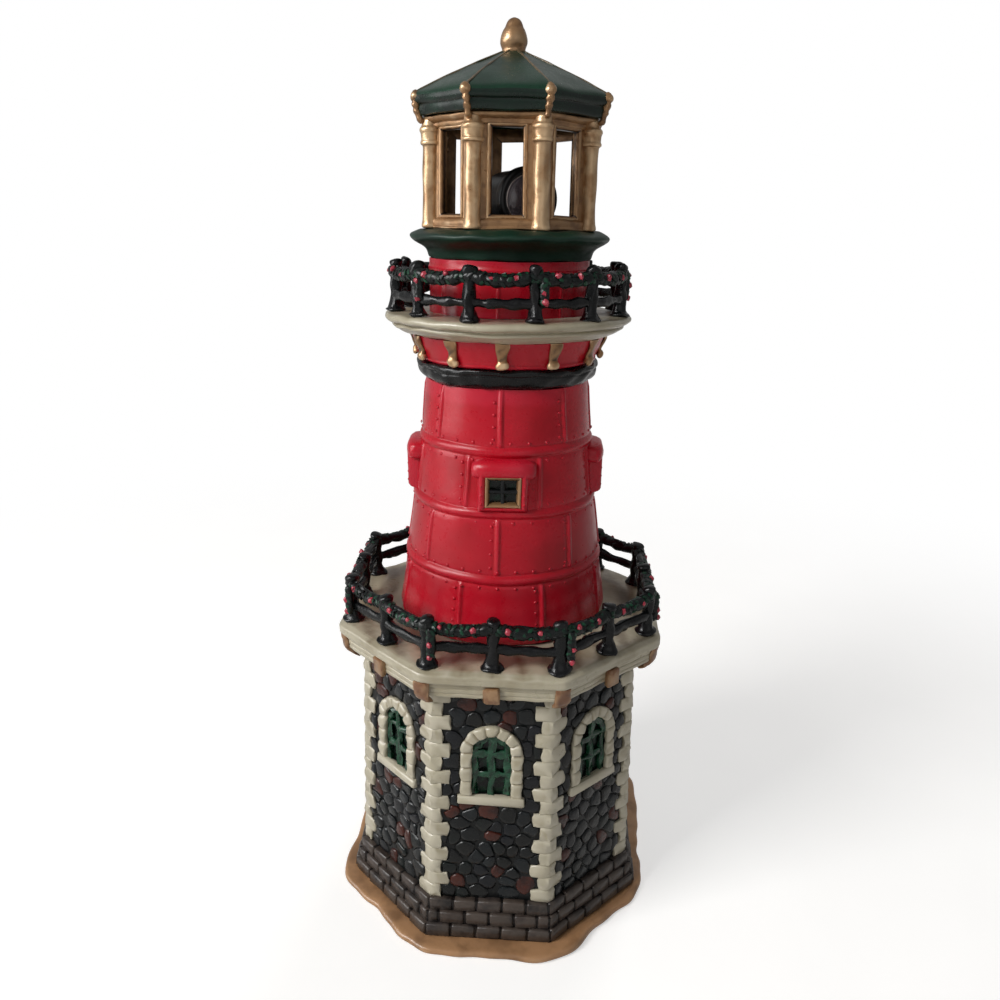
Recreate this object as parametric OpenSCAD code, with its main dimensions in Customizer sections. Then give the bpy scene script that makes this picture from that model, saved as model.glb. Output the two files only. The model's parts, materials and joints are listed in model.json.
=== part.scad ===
// Lighted lighthouse figurine: glazed stoneware keeper's house and tower with a turning
// beacon lamp. Origin at the centre of the resting face, +Z up, front wall facing -Y.

/* [Base] */
// Thickness of the sand-coloured ground slab
sand_h = 2.6; // [2.2:0.1:5]
// How far the ground slab's rim lies outside the plinth's corners, on average
sand_ledge = 3.2; // [2:0.1:7]
// How far the slab swells out under the eight corners
sand_corner = 1.7; // [0:0.1:2]
// Height of the slow waves round the slab's rim
sand_wave = 1.0; // [0:0.1:1.4]
// How much the slab draws in to the left and the right
sand_pinch = 1.2; // [0:0.1:1.5]
// How far the slab's two back corners fill out
sand_yard = 13.5; // [0:0.5:15]
// Height of one brick course
course_h = 4.07; // [3.5:0.01:6]
// How far the top brick course stands out past the walls, at the corners
plinth_ledge = 1.8; // [1.4:0.1:3]
// Step back of each brick course over the one below
course_step = 1.1; // [0.6:0.1:1.3]

/* [Stone house] */
// Height of the stone walls
wall_h = 72.7; // [66:0.1:90]
// Corner radius of the walls at the bottom
wall_r = 47; // [46:0.1:52]
// How much less the corner radius is at the top
wall_lean = 1.7; // [0:0.1:2.2]
// Thickness of the stone walls
wall_t = 3.2; // [2.8:0.1:4]
// Number of corner stones in each stack
quoin_count = 16; // [12:1:20]
// Long arm of a corner stone
quoin_long = 5.2; // [4.2:0.1:6]
// Short arm of a corner stone
quoin_short = 2.9; // [2:0.1:4]
// How far the corner stones stand proud
quoin_t = 0.7; // [0.4:0.1:1]
// Joint between two corner stones
quoin_joint = 0.35; // [0.2:0.05:0.6]

/* [Arched windows] */
// Clear width of an arched window
arch_w = 11.6; // [9:0.1:13]
// Clear height of an arched window
arch_h = 20.2; // [16:0.1:24]
// Height of the window's opening above the foot of the wall
arch_sill = 37.6; // [32:0.1:44]
// Width of the stone surround
surround_w = 3.5; // [2.5:0.1:4.2]
// How far the surround stands proud
surround_t = 1.3; // [0.8:0.1:2]
// Height of the sill
sill_h = 3; // [2:0.1:4]
// How far the sill reaches past the surround on each side
sill_over = 1.2; // [0.4:0.1:2]
// Width of a glazing bar
bar_w = 1.1; // [0.8:0.1:1.6]
// Thickness of the glazing bars and of the panes
pane_t = 1; // [0.8:0.1:1.2]

/* [Lower deck] */
// How far the deck's edge stands out past the top of the walls, at the corners
deck_over = 8.5; // [7.5:0.1:11]
// Height of the lower band of the cornice
cornice_low_h = 5.2; // [4:0.1:6.5]
// Height of the cornice's face
cornice_h = 2.9; // [2.2:0.1:5]
// Height of the deck over the cornice's edge
deck_h = 1; // [0.6:0.1:2]
// How far the deck reaches in under the tower's wall
deck_lip = 3; // [2:0.1:5]
// Width of a cornice block
block_w = 4.7; // [3.5:0.1:6]
// Height of a cornice block
block_h = 6; // [4.5:0.1:6.5]
// Depth of a cornice block
block_d = 1.3; // [1:0.1:2]

/* [Lower railing] */
// Distance of the lower railing from the deck's edge, at the corners
low_rail_in = 4.2; // [3.8:0.1:6]
// Height of a post of the lower railing
low_post_h = 15.2; // [13:0.1:18]
// Radius of a post of the lower railing
low_post_r = 1.75; // [1.4:0.05:2]
// Radius of a post's bell foot
low_foot_r = 3.1; // [2.4:0.1:3.3]
// Radius of the lower railing's bars
low_bar_r = 1.25; // [1:0.05:1.5]
// Height of the bottom bar over the deck
low_bar_z = 6; // [5:0.1:7.5]
// Height of the top bar over the deck
low_top_z = 11.7; // [10:0.1:13]
// Radius of the garland on the lower railing
low_garland_r = 1.9; // [1.4:0.1:2.2]
// Sag of the garland between two posts
low_garland_sag = 1.3; // [0.5:0.1:2]

/* [Tower] */
// Height of the tower
tower_h = 74.7; // [70:0.1:90]
// Radius of the tower's foot
tower_foot_r = 33; // [32:0.1:34]
// Height at which the foot is widest
tower_foot_z = 3; // [2:0.1:4]
// Radius of the tower's top
tower_top_r = 24.3; // [23.6:0.1:25]
// Wall of the tower
tower_wall = 3; // [2.4:0.1:3.6]
// Height of each of the three plate ridges over the tower's foot
ridge_z = [20.1, 39.4, 57.2];
// How far a ridge stands proud
ridge_t = 0.75; // [0.4:0.05:1.2]
// Height of a ridge
ridge_h = 2.4; // [1.6:0.1:3]
// Turn of the tower's windows from the front
tower_turn = 2; // [0:0.5:6]

/* [Tower windows] */
// Outer width of a square window frame
frame_w = 10.2; // [8:0.1:11]
// Outer height of a square window frame
frame_h = 9.2; // [8:0.1:10]
// Width of the frame's bars
frame_bar = 1.3; // [0.9:0.1:1.8]
// Height of the frame's foot over the tower's foot
frame_z = 42; // [40.5:0.1:42.5]
// Red surround at each side of the frame
boss_side = 1.9; // [1:0.1:2.4]
// How far the surround's face stands out from the tower
boss_out = 2.41; // [1.8:0.01:3.2]
// Width of the hood over the frame
hood_w = 18.4; // [15:0.1:19]
// Height of the hood
hood_h = 4.6; // [3.6:0.1:5]
// How far the hood stands out past the surround
hood_out = 1.1; // [0.6:0.1:2]

/* [Gallery] */
// Height of the black ring moulding
ring_h = 5.7; // [5:0.1:7]
// How far the ring moulding stands out past the tower's top
ring_out = 2.8; // [2.2:0.1:4]
// Height of the red flare under the gallery
flare_h = 7.6; // [7:0.1:10]
// How far the flare's foot lies in from the ring moulding's edge
flare_in = 1.1; // [0.8:0.1:1.8]
// How far the flare spreads on its way up
flare_spread = 2.8; // [1.5:0.1:4]
// Thickness of the gallery from the flare to its floor
gallery_h = 6; // [5:0.1:7]
// How far the gallery's rim stands out past the flare
gallery_over = 7.5; // [7:0.1:10]
// Number of gilt brackets
bracket_count = 12; // [8:1:16]
// Width of a bracket
bracket_w = 3.2; // [2:0.1:3.6]

/* [Upper railing] */
// Number of posts of the upper railing
up_post_count = 12; // [10:2:16]
// Distance of the circle of posts from the gallery's rim
up_rail_in = 3.2; // [2.8:0.1:4.5]
// Height of a post of the upper railing
up_post_h = 14.5; // [12:0.1:16]
// Radius of a post of the upper railing
up_post_r = 1.6; // [1.3:0.05:1.8]
// Radius of a post's foot
up_foot_r = 2.6; // [2:0.1:2.8]
// Radius of the upper railing's bars
up_bar_r = 1.05; // [0.9:0.05:1.2]
// Height of the bottom bar over the gallery
up_bar_z = 4.9; // [4:0.1:5.5]
// Height of the top bar over the gallery
up_top_z = 11.2; // [9.5:0.1:12]
// Radius of the garland on the upper railing
up_garland_r = 1.65; // [1.3:0.05:1.8]
// Sag of the upper garland between two posts
up_garland_sag = 1; // [0.4:0.1:1.6]
// Radius of a berry
berry_r = 0.85; // [0.6:0.05:1]

/* [Lantern] */
// Height of the red drum under the lantern
drum_h = 14.9; // [14.5:0.1:18]
// Wall of the drum
drum_wall = 3; // [2.8:0.1:3.4]
// Height of the green collar
collar_h = 8.1; // [8:0.1:10]
// How far the collar's lip stands out past the drum
collar_out = 5.5; // [4.6:0.1:7]
// Height of the gilt cage between collar and roof
cage_h = 28.7; // [28.2:0.1:34]
// How far the cage's corners stand out past the drum
cage_out = 0.3; // [-0.2:0.1:0.8]
// Thickness of the cage's walls
cage_t = 2; // [1.6:0.1:2.4]
// Height of the cage's sill band
cage_sill_h = 3.9; // [3:0.1:4.5]
// Height of the cage's top band
cage_frieze_h = 3.6; // [3:0.1:4.5]
// How far the sill and top bands stand proud
cage_band = 0.7; // [0.4:0.1:1]
// Clear width of a lantern window
lantern_w = 8; // [6:0.1:9]
// Radius of a corner column
column_r = 1.7; // [1.4:0.05:2]
// Radius of a column's capital
capital_r = 2.5; // [2:0.05:2.7]

/* [Roof] */
// Height of the roof's upright edge
fascia_h = 5.8; // [5:0.1:7]
// How far the roof's edge stands out past the cage, at the corners
roof_over = 4.7; // [4:0.1:7]
// Rise of the roof over its edge
roof_rise = 11.6; // [10:0.1:14]
// Radius of the seat of the finial
roof_seat_r = 3; // [2.6:0.1:3.4]
// Radius of a roof rib
rib_r = 0.5; // [0.4:0.05:0.7]
// Height of the finial
finial_h = 8.3; // [7:0.1:11]
// Largest radius of the finial
finial_r = 3.7; // [3.2:0.1:4.2]

/* [Beacon] */
// Heading of the beacon lamp at rest, from +X
beacon_heading = -65; // [-180:1:180]
// Height of the lamp's axis over the lantern's floor
beacon_axis_z = 10.1; // [9.8:0.1:11]
// Radius of the lamp's barrel
barrel_r = 7.9; // [7:0.1:8]
// Distance of the lamp's front from the spindle
barrel_front = 12.3; // [11:0.1:12.6]
// Distance of the barrel's back from the spindle
barrel_back = 8; // [6:0.1:9]
// Wall of the barrel
barrel_wall = 0.9; // [0.8:0.1:1.2]
// Outer radius of the bezel
bezel_r = 8.6; // [8.4:0.1:8.8]
// Depth of the bezel along the lamp's axis
bezel_d = 3.4; // [2.8:0.1:4]
// Radius of the glass lens
lens_r = 6.6; // [6:0.1:6.8]

/* [Drive] */
// Radius of the beacon's spindle
spindle_r = 1.5; // [1.2:0.05:1.6]
// Running clearance between a shaft and its bush
running_gap = 0.05; // [0.02:0.01:0.08]
// Module of the gears
gear_module = 0.5; // [0.48:0.01:0.52]
// Teeth of the spindle's gear
gear_teeth = 32; // [28:4:32]
// Teeth of the motor's pinion
pinion_teeth = 12; // [12:4:16]
// Thickness of the spindle's gear
gear_t = 2.6; // [2:0.1:3]
// Thickness of the motor plate
motor_plate_t = 2; // [1.6:0.1:2.4]
// Radius of the motor
motor_r = 6; // [5:0.1:6.4]
// Length of the motor with its gearbox
motor_l = 26; // [20:0.5:28]
// Room between the motor and the way up through the gallery
motor_room = 1.3; // [0.8:0.1:3]
// Width of the ledge that the motor plate rests on
plate_seat = 2; // [1.2:0.1:3]
// Radius of the motor's shaft
motor_shaft_r = 1; // [0.8:0.05:1.2]

/* [Power] */
// Radius of a battery cell
cell_r = 7.25; // [7:0.05:7.3]
// Length of a battery cell
cell_l = 50.5; // [49:0.1:50.8]
// Number of battery cells
cell_count = 3; // [2:1:3]
// Thickness of the moulded base plate and of the battery box
plastic_t = 1.8; // [1.5:0.1:2]
// Height of the base plate over the table
plate_lift = 0.8; // [0.4:0.1:1]
// Gap round the battery door
door_gap = 0.3; // [0.2:0.05:0.5]
// Travel of the on-off slider
slider_travel = 3; // [2:0.1:4]
// Radius of the bore of the power jack
jack_bore_r = 2.75; // [2.5:0.05:3]

/* [Hidden] */
$fn = 48;

// Sides of the octagonal parts, and the ratio of a flat's distance to a corner's
sides = 8;
side_turn = 360 / sides;
half_turn = side_turn / 2;
flat = cos(half_turn);
eps = 0.5;

// Levels, each stacked on the one below
z_plinth = sand_h;
course_count = 3;
z_wall = z_plinth + course_count * course_h;
z_deck = z_wall + wall_h;
z_block = z_deck + cornice_low_h - block_h;
z_fascia = z_deck + cornice_low_h;
z_walk = z_fascia + cornice_h + deck_h;
z_ring = z_walk + tower_h;
z_flare = z_ring + ring_h;
z_gallery = z_flare + flare_h;
z_floor = z_gallery + gallery_h;
z_collar = z_floor + drum_h;
z_cage = z_collar + collar_h;
z_roof = z_cage + cage_h;
z_pitch = z_roof + fascia_h;
z_finial = z_pitch + roof_rise;

// Plinth and ground slab, outwards from the walls
plinth_r = wall_r + plinth_ledge + (course_count - 1) * course_step;
sand_r = plinth_r + sand_ledge;
yard_right = 41;
yard_left = 142;
yard_spread = 13;
plinth_wall = 6.8;
plinth_hole_r = wall_r + plinth_ledge - plinth_wall;
ground_step = 2;
ground_hole_r = plinth_hole_r + ground_step;

// Stone walls
wall_top_r = wall_r - wall_lean;
wall_flat = wall_r * flat;
lean_angle = atan(wall_lean * flat / wall_h);
wall_slope_h = wall_h / cos(lean_angle);
function wall_half(s) = (wall_r - wall_lean * s / wall_slope_h) * sin(half_turn);
quoin_pitch = wall_slope_h / quoin_count;
sill_w = arch_w + 2 * (surround_w + sill_over);
sill_proud = 0.5;
sill_t = surround_t + sill_proud;
bar_back = 0.2;
pane_y = pane_t + bar_back;

// Cornice, in corner radii
deck_r = wall_top_r + deck_over;
cornice_step = 1.4;
cornice_low_r = deck_r - cornice_step;
cornice_edge = 1.4;
cornice_edge_r = deck_r - cornice_edge;
fillet_out = 2.3;
fillet_r = wall_top_r + fillet_out;
fillet_h = 0.4;
low_rail_r = deck_r - low_rail_in;

// Tower: radius of its skin at a height over its foot
tower_belly = 0.55;
foot_in = 1;
deck_hole_r = tower_foot_r - tower_wall - foot_in - deck_lip;
tower_skin_h = tower_h - tower_foot_z;
function tower_r(z) = let (t = (z - tower_foot_z) / tower_skin_h)
    tower_foot_r + (tower_top_r - tower_foot_r) * t - tower_belly * sin(180 * t);
boss_y = tower_r(frame_z + frame_h / 2) + boss_out;
frame_proud = 0.4;
frame_y = boss_y + frame_proud;

// Ring moulding, flare and gallery, each outwards from the one below
ring_r = tower_top_r + ring_out;
flare_low_r = ring_r - flare_in;
flare_top_r = flare_low_r + flare_spread;
flare_wall = 4.4;
gallery_r = flare_top_r + gallery_over;
up_rail_r = gallery_r - up_rail_in;
deck_edge_r = gallery_r - 0.8;
torus_r = gallery_r - 2;
under_step = 0.9;
under_r = flare_top_r + under_step;
rim_h = 2.2;
torus_h = 1.1;

// Drum and lantern, outwards from the motor that hangs beside the spindle
gear_r = gear_module * gear_teeth / 2;
pinion_r = gear_module * pinion_teeth / 2;
motor_x = gear_r + pinion_r;
gallery_hole_r = motor_x + motor_r + motor_room;
drum_r = gallery_hole_r + plate_seat + drum_wall;
collar_r = drum_r + collar_out;
cage_r = drum_r + cage_out;
roof_r = cage_r + roof_over;
cage_inner = cage_r * flat - cage_t;
column_in = 0.1;
column_at = cage_r - column_in;
collar_shelf = 4;
floor_t = 2;
z_lantern_floor = z_collar + collar_shelf + floor_t;
floor_lap = 0.3;
floor_r = cage_inner + floor_lap;
window_z = z_cage + cage_sill_h;
window_h = cage_h - cage_sill_h - cage_frieze_h;
fascia_step = 1.2;
fascia_low_r = roof_r - fascia_step;
roof_wall = 3;
pitch_in = 0.5;
capital_z = 6.6;
capital_h = 3;
bead_big = 1.75;
bead_shares = [1, 0.8, 0.714, 0.6];
bead_out = 0.1;
bead_in = 0.55;
bead_low = 0.2;
bead_drop = 2.15;

// Beacon lamp
z_beacon = z_lantern_floor + beacon_axis_z;
bezel_lap = 1.2;
lamp_front = barrel_front + bezel_lap;
bush_flange_h = 0.8;
stem_gap = 0.5;
stem_r = 3.2;
z_stem = z_lantern_floor + bush_flange_h + stem_gap;
z_spindle_top = z_stem + 2.6;
barrel_floor = 2.2;
lens_seat = 1;
bulb_stem_r = 1.2;
bulb_r = 1.8;
bulb_z = 3.2;

// Drive: the motor hangs under its plate, beside the spindle
plate_gap = 0.3;
motor_plate_r = drum_r - drum_wall - plate_gap;
bush_wall = 1.6;
bush_r = spindle_r + bush_wall;
z_motor_plate = z_floor;
z_bush_top = z_motor_plate + motor_plate_t + bush_flange_h;
z_gear = z_bush_top + stem_gap;
z_rings = z_gear + gear_t + 1.2;
spindle_tail = 2.4;
z_spindle = z_motor_plate - spindle_tail;
slip_wall = 1.9;
slip_r = spindle_r + slip_wall;
ring_t = 1.2;
hub_h = 4.8;
brush_gap = 0.2;
screw_r = 1;

// Power, on the base plate
z_plate = plate_lift;
z_plate_top = plate_lift + plastic_t;
plate_clear = 0.2;
plate_r = ground_hole_r - plate_clear;
cell_gap = 0.3;
cell_pitch = 2 * cell_r + cell_gap;
box_gap = 0.4;
contact_room = 3;
bay_l = cell_l + 2 * contact_room;
bay_w = cell_pitch * cell_count + 2 * box_gap;
cell_lift = 0.8;
z_cell = z_plate_top + cell_lift + cell_r;
z_bay_top = z_cell + cell_r + box_gap;
z_box_top = z_bay_top + plastic_t;
boss_r = 3.2;
boss_h = 7;
boss_in = 1.2;
boss_at = plinth_hole_r * flat - boss_in;
pilot_r = 1.1;
lamp_r = 5.4;
lamp_h = 18.2;
holder_h = 8;
holder_foot_h = 2;
holder_foot_w = 2.6;

// Hardware on the rear wall
rear_side = 4;
panel_h = 13;
panel_t = 1.2;
panel_clear = 0.5;
panel_z = 14;
panel_w = 2 * (wall_half(panel_z + panel_h) - quoin_long - panel_clear);
panel_lap = 1.3;
cut_w = panel_w - 2 * panel_lap;
cut_h = 8.4;
switch_x = 5.6;
jack_x = -6;
knob_w = 3;
knob_h = 2.6;
knob_gap = 0.3;
slot_w = slider_travel + knob_w + 2 * knob_gap;
slot_h = knob_h + 2 * knob_gap;
jack_wall = 0.9;
jack_r = jack_bore_r + jack_wall;
jack_l = 11;

// Flat and upright outlines
module octagon(r) {
    rotate(half_turn) circle(r = r, $fn = sides);
}

module octagon_ring(outer, inner) {
    difference() {
        octagon(outer);
        octagon(inner);
    }
}

// A flat shape stood up on its lower edge, t thick, starting y_from behind the plane y = 0
module upright(y_from, t) {
    translate([0, y_from + t, 0]) rotate([90, 0, 0]) linear_extrude(t) children();
}

module arch_2d(w, h) {
    translate([-w / 2, 0]) square([w, h - w / 2]);
    translate([0, h - w / 2]) circle(d = w);
}

module at_each_side() {
    for (i = [0:sides - 1]) rotate(i * side_turn) children();
}

// Local frame on the face of one leaning wall: x along it, z up its slope, -y outwards
module on_wall(i) {
    rotate(i * side_turn) translate([0, -wall_flat, z_wall]) rotate([-lean_angle, 0, 0])
        children();
}

module on_each_wall() {
    for (i = [0:sides - 1]) on_wall(i) children();
}

// Ground, plinth and walls
function yard(a, at) = sand_yard * exp(-pow((a - at) / yard_spread, 2));

function sand_edge(a) = sand_r + sand_corner * cos(sides * (a - half_turn))
    + sand_wave * sin(3 * a - 15) * cos(a + 25) - sand_pinch * pow(cos(a), 2)
    + yard(a, yard_right) + yard(a, yard_left);

module sand_base() {
    color([0.70, 0.52, 0.34]) difference() {
        linear_extrude(sand_h)
            polygon([for (a = [0:5:355]) sand_edge(a) * [cos(a), sin(a)]]);
        translate([0, 0, -eps]) linear_extrude(sand_h + 2 * eps) octagon(ground_hole_r);
    }
}

module brick_plinth() {
    color([0.38, 0.34, 0.34]) {
        translate([0, 0, z_plinth]) for (i = [0:course_count - 1])
            linear_extrude((i + 1) * course_h)
                octagon_ring(plinth_r - i * course_step, plinth_hole_r);
        for (a = [0:90:270]) rotate(a) translate([boss_at, 0, z_plinth]) difference() {
            cylinder(r = boss_r, h = boss_h);
            translate([0, 0, -eps]) cylinder(r = pilot_r, h = boss_h);
        }
    }
}

// Leaning eight-sided block, inset from the walls' faces and longer by extra at each end
module wall_block(inset, extra) {
    slope = wall_lean / wall_h;
    side_inset = inset / (flat * cos(lean_angle));
    translate([0, 0, z_wall - extra]) rotate(half_turn)
        cylinder(r1 = wall_r + slope * extra - side_inset,
            r2 = wall_top_r - slope * extra - side_inset, h = wall_h + 2 * extra, $fn = sides);
}

module stone_walls() {
    color([0.25, 0.28, 0.31]) difference() {
        wall_block(0, 0);
        wall_block(wall_t, eps);
        on_each_wall() translate([0, 0, arch_sill]) upright(-eps, wall_t + 2 * eps)
            arch_2d(arch_w, arch_h);
        on_wall(rear_side) translate([0, 0, panel_z - cut_h / 2])
            upright(-eps, wall_t + 2 * eps) translate([-cut_w / 2, 0]) square([cut_w, cut_h]);
    }
}

// One arm of a corner stone, mitred at the corner; dir is the side of the wall it is on
module corner_arm(k, arm, dir) {
    edge = wall_half((k + 0.5) * quoin_pitch);
    mitre = quoin_t * tan(half_turn);
    translate([0, 0, k * quoin_pitch]) linear_extrude(quoin_pitch - quoin_joint)
        polygon([
            [dir * (edge - arm), 0], [dir * edge, 0],
            [dir * (edge + mitre), -quoin_t], [dir * (edge - arm), -quoin_t]]);
}

module corner_stones() {
    color([0.80, 0.77, 0.68]) on_each_wall() for (k = [0:quoin_count - 1]) {
        corner_arm(k, k % 2 == 0 ? quoin_long : quoin_short, 1);
        corner_arm(k, k % 2 == 0 ? quoin_short : quoin_long, -1);
    }
}

module window_surrounds() {
    color([0.80, 0.77, 0.68]) on_each_wall() translate([0, 0, arch_sill]) {
        upright(-surround_t, surround_t) difference() {
            arch_2d(arch_w + 2 * surround_w, arch_h + surround_w);
            arch_2d(arch_w, arch_h);
        }
        translate([-sill_w / 2, -sill_t, -sill_h]) cube([sill_w, sill_t, sill_h]);
    }
}

module glazing_bars() {
    color([0.07, 0.27, 0.17]) on_each_wall() translate([0, 0, arch_sill])
        upright(bar_back, pane_t) intersection() {
            arch_2d(arch_w, arch_h);
            union() {
                difference() {
                    arch_2d(arch_w, arch_h);
                    translate([0, bar_w]) arch_2d(arch_w - 2 * bar_w, arch_h - 2 * bar_w);
                }
                translate([-bar_w / 2, 0]) square([bar_w, arch_h]);
                for (k = [1:2]) translate([-arch_w / 2, k * arch_h / 3 - bar_w / 2])
                    square([arch_w, bar_w]);
            }
        }
}

module window_panes() {
    color([0.05, 0.08, 0.07]) on_each_wall() translate([0, 0, arch_sill])
        upright(pane_y, pane_t) arch_2d(arch_w, arch_h);
}

// Deck
module lower_deck() {
    color([0.80, 0.77, 0.68]) difference() {
        union() {
            translate([0, 0, z_deck]) linear_extrude(cornice_low_h) octagon(fillet_r);
            translate([0, 0, z_deck + fillet_h]) linear_extrude(cornice_low_h)
                octagon(cornice_low_r);
            translate([0, 0, z_fascia]) linear_extrude(cornice_h) octagon(deck_r);
            translate([0, 0, z_fascia + eps]) linear_extrude(z_walk - z_fascia - eps)
                octagon(cornice_edge_r);
        }
        translate([0, 0, z_deck - eps]) cylinder(r = deck_hole_r, h = z_walk - z_deck + 2 * eps);
    }
}

module cornice_blocks() {
    block_y = cornice_low_r * flat;
    block_in = 0.8;
    color([0.55, 0.34, 0.20]) {
        at_each_side() translate([-block_w / 2, -block_y - block_d, z_block])
            cube([block_w, block_d, block_h]);
        difference() {
            at_each_side() rotate(half_turn)
                translate([-block_w / 2, -cornice_low_r - block_d + block_in, z_block])
                    cube([block_w, block_d + block_in, block_h]);
            translate([0, 0, z_block - eps]) linear_extrude(block_h + 2 * eps)
                octagon(cornice_low_r);
        }
    }
}

// Railings
module post(r, foot_r, h) {
    rotate_extrude() polygon([
        [0, 0], [foot_r, 0], [foot_r, 0.8], [foot_r * 0.8, 1.7], [r, 3.1],
        [r, h - 1.5], [r + 0.3, h - 0.9], [r * 0.7, h], [0, h]]);
}

low_mid_r = low_rail_r * flat;
low_side = 2 * low_rail_r * sin(half_turn);

module lower_railing() {
    color([0.08, 0.08, 0.09]) translate([0, 0, z_walk]) {
        at_each_side() {
            translate([0, -low_mid_r, 0]) post(low_post_r, low_foot_r, low_post_h);
            rotate(half_turn) translate([0, -low_rail_r, 0])
                post(low_post_r, low_foot_r, low_post_h);
            for (z = [low_bar_z, low_top_z])
                translate([-low_side / 2, -low_mid_r, z]) rotate([0, 90, 0])
                    cylinder(r = low_bar_r, h = low_side, $fn = 24);
        }
    }
}

module upper_railing() {
    color([0.08, 0.08, 0.09]) translate([0, 0, z_floor]) {
        for (i = [0:up_post_count - 1]) rotate((i + 0.5) * 360 / up_post_count)
            translate([up_rail_r, 0, 0]) post(up_post_r, up_foot_r, up_post_h);
        for (z = [up_bar_z, up_top_z]) rotate_extrude($fn = 96)
            translate([up_rail_r, z]) circle(r = up_bar_r, $fn = 24);
    }
}

// Garlands: closed tubes that follow a rail and sag between its posts
garland_sides = 6;
garland_steps = 6;
low_spans = 2 * sides;

function octagon_r(a, r) = let (m = a - side_turn * floor(a / side_turn) - half_turn)
    r * flat / cos(m);
function sag_at(t, sag) = -sag * sin(180 * (t - floor(t)));
function low_path(t) = let (a = -90 + t * 360 / low_spans, r = octagon_r(a + half_turn, low_rail_r))
    [(r + 0.3) * cos(a), (r + 0.3) * sin(a),
     z_walk + low_top_z + 0.4 + sag_at(t, low_garland_sag)];
function up_path(t) = let (a = (t + 0.5) * 360 / up_post_count)
    [(up_rail_r + 0.2) * cos(a), (up_rail_r + 0.2) * sin(a),
     z_floor + up_top_z + 0.2 + sag_at(t, up_garland_sag)];

// Joins rings of points, the last one back to the first
module closed_tube(path, r) {
    n = len(path);
    m = garland_sides;
    points = [for (p = path) let (a = atan2(p[1], p[0])) for (j = [0:m - 1])
        p + r * [cos(j * 360 / m) * cos(a), cos(j * 360 / m) * sin(a), sin(j * 360 / m)]];
    faces = [for (k = [0:n - 1]) for (j = [0:m - 1])
        let (p = k * m + j, q = k * m + (j + 1) % m,
             s = ((k + 1) % n) * m + j, t = ((k + 1) % n) * m + (j + 1) % m)
        each [[p, q, s], [q, t, s]]];
    polyhedron(points, faces);
}

// A short end of garland that hangs beside a post
module garland_tail(p, r, drop) {
    translate(p + [0, 0, -drop]) {
        sphere(r = r, $fn = 16);
        cylinder(r = r, h = drop, $fn = 16);
    }
}

function beside(a, r, shift) = [r * cos(a) - shift * sin(a), r * sin(a) + shift * cos(a)];
tail_out = 0.9;
low_tail_shift = 2.4;
up_tail_shift = 2;
function low_tail(i) = concat(
    beside(i * side_turn + half_turn - 90, low_rail_r + tail_out, low_tail_shift),
    z_walk + low_top_z);
function up_tail(i) = concat(
    beside((2 * i + 0.5) * 360 / up_post_count - 90, up_rail_r + tail_out, up_tail_shift),
    z_floor + up_top_z);
low_tail_drop = 7.5;
up_tail_drop = 6;

module lower_garland() {
    color([0.06, 0.25, 0.16]) {
        closed_tube([for (k = [0:low_spans * garland_steps - 1]) low_path(k / garland_steps)],
            low_garland_r);
        for (i = [0:sides - 1]) garland_tail(low_tail(i), low_garland_r * 0.7, low_tail_drop);
    }
}

module upper_garland() {
    color([0.06, 0.25, 0.16]) {
        closed_tube([for (k = [0:up_post_count * garland_steps - 1]) up_path(k / garland_steps)],
            up_garland_r);
        for (i = [0:up_post_count / 2 - 1]) garland_tail(up_tail(i), up_garland_r * 0.7, up_tail_drop);
    }
}

// A berry sits on the outer side of the garland at the path point p
module berry(p, r) {
    a = atan2(p[1], p[0]);
    translate(p + r * [cos(a), sin(a), 0.25]) sphere(r = berry_r, $fn = 16);
}

module berries() {
    color([0.74, 0.16, 0.24]) {
        for (k = [0:low_spans - 1]) for (t = [0.24, 0.7]) berry(low_path(k + t), low_garland_r);
        for (k = [0:up_post_count - 1]) for (t = [0.28, 0.68]) berry(up_path(k + t), up_garland_r);
        for (i = [0:sides - 1]) berry(low_tail(i) + [0, 0, -low_tail_drop], low_garland_r * 0.7);
        for (i = [0:up_post_count / 2 - 1])
            berry(up_tail(i) + [0, 0, -up_tail_drop], up_garland_r * 0.7);
    }
}

// Tower
skin_steps = 10;
skin = [for (i = [0:skin_steps]) let (z = tower_foot_z + i * tower_skin_h / skin_steps)
    [tower_r(z), z]];

module tower_skin_2d() {
    polygon(concat([[0, 0], [tower_foot_r - 1.2, 0], [tower_foot_r - 0.2, tower_foot_z * 0.45]],
        skin, [[0, tower_h]]));
    for (z = ridge_z) translate([tower_r(z) - ridge_t, z]) polygon([
        [0, -ridge_h / 2], [ridge_t, -ridge_h / 2], [2 * ridge_t, -ridge_h / 4],
        [2 * ridge_t, ridge_h / 4], [ridge_t, ridge_h / 2], [0, ridge_h / 2]]);
}

module tower_hollow_2d() {
    polygon(concat([[0, -eps], [tower_foot_r - tower_wall - foot_in, -eps]],
        [for (p = skin) [p[0] - tower_wall, p[1]]],
        [[tower_top_r - tower_wall, tower_h + eps], [0, tower_h + eps]]));
}

module at_tower_windows() {
    for (i = [0:3]) rotate(tower_turn + i * 90) translate([0, 0, frame_z]) children();
}

module window_boss() {
    boss_w = frame_w + 2 * boss_side;
    boss_low = 1.2;
    root_y = boss_y - 8;
    translate([-boss_w / 2, -boss_y, -boss_low])
        cube([boss_w, boss_y - root_y, frame_h + boss_low]);
    rotate([90, 0, -90]) translate([root_y, frame_h, -hood_w / 2]) linear_extrude(hood_w)
        polygon([
            [0, 0], [boss_y + hood_out - root_y, 0], [boss_y + hood_out - root_y, hood_h * 0.55],
            [boss_y - 0.9 - root_y, hood_h], [0, hood_h]]);
}

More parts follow.
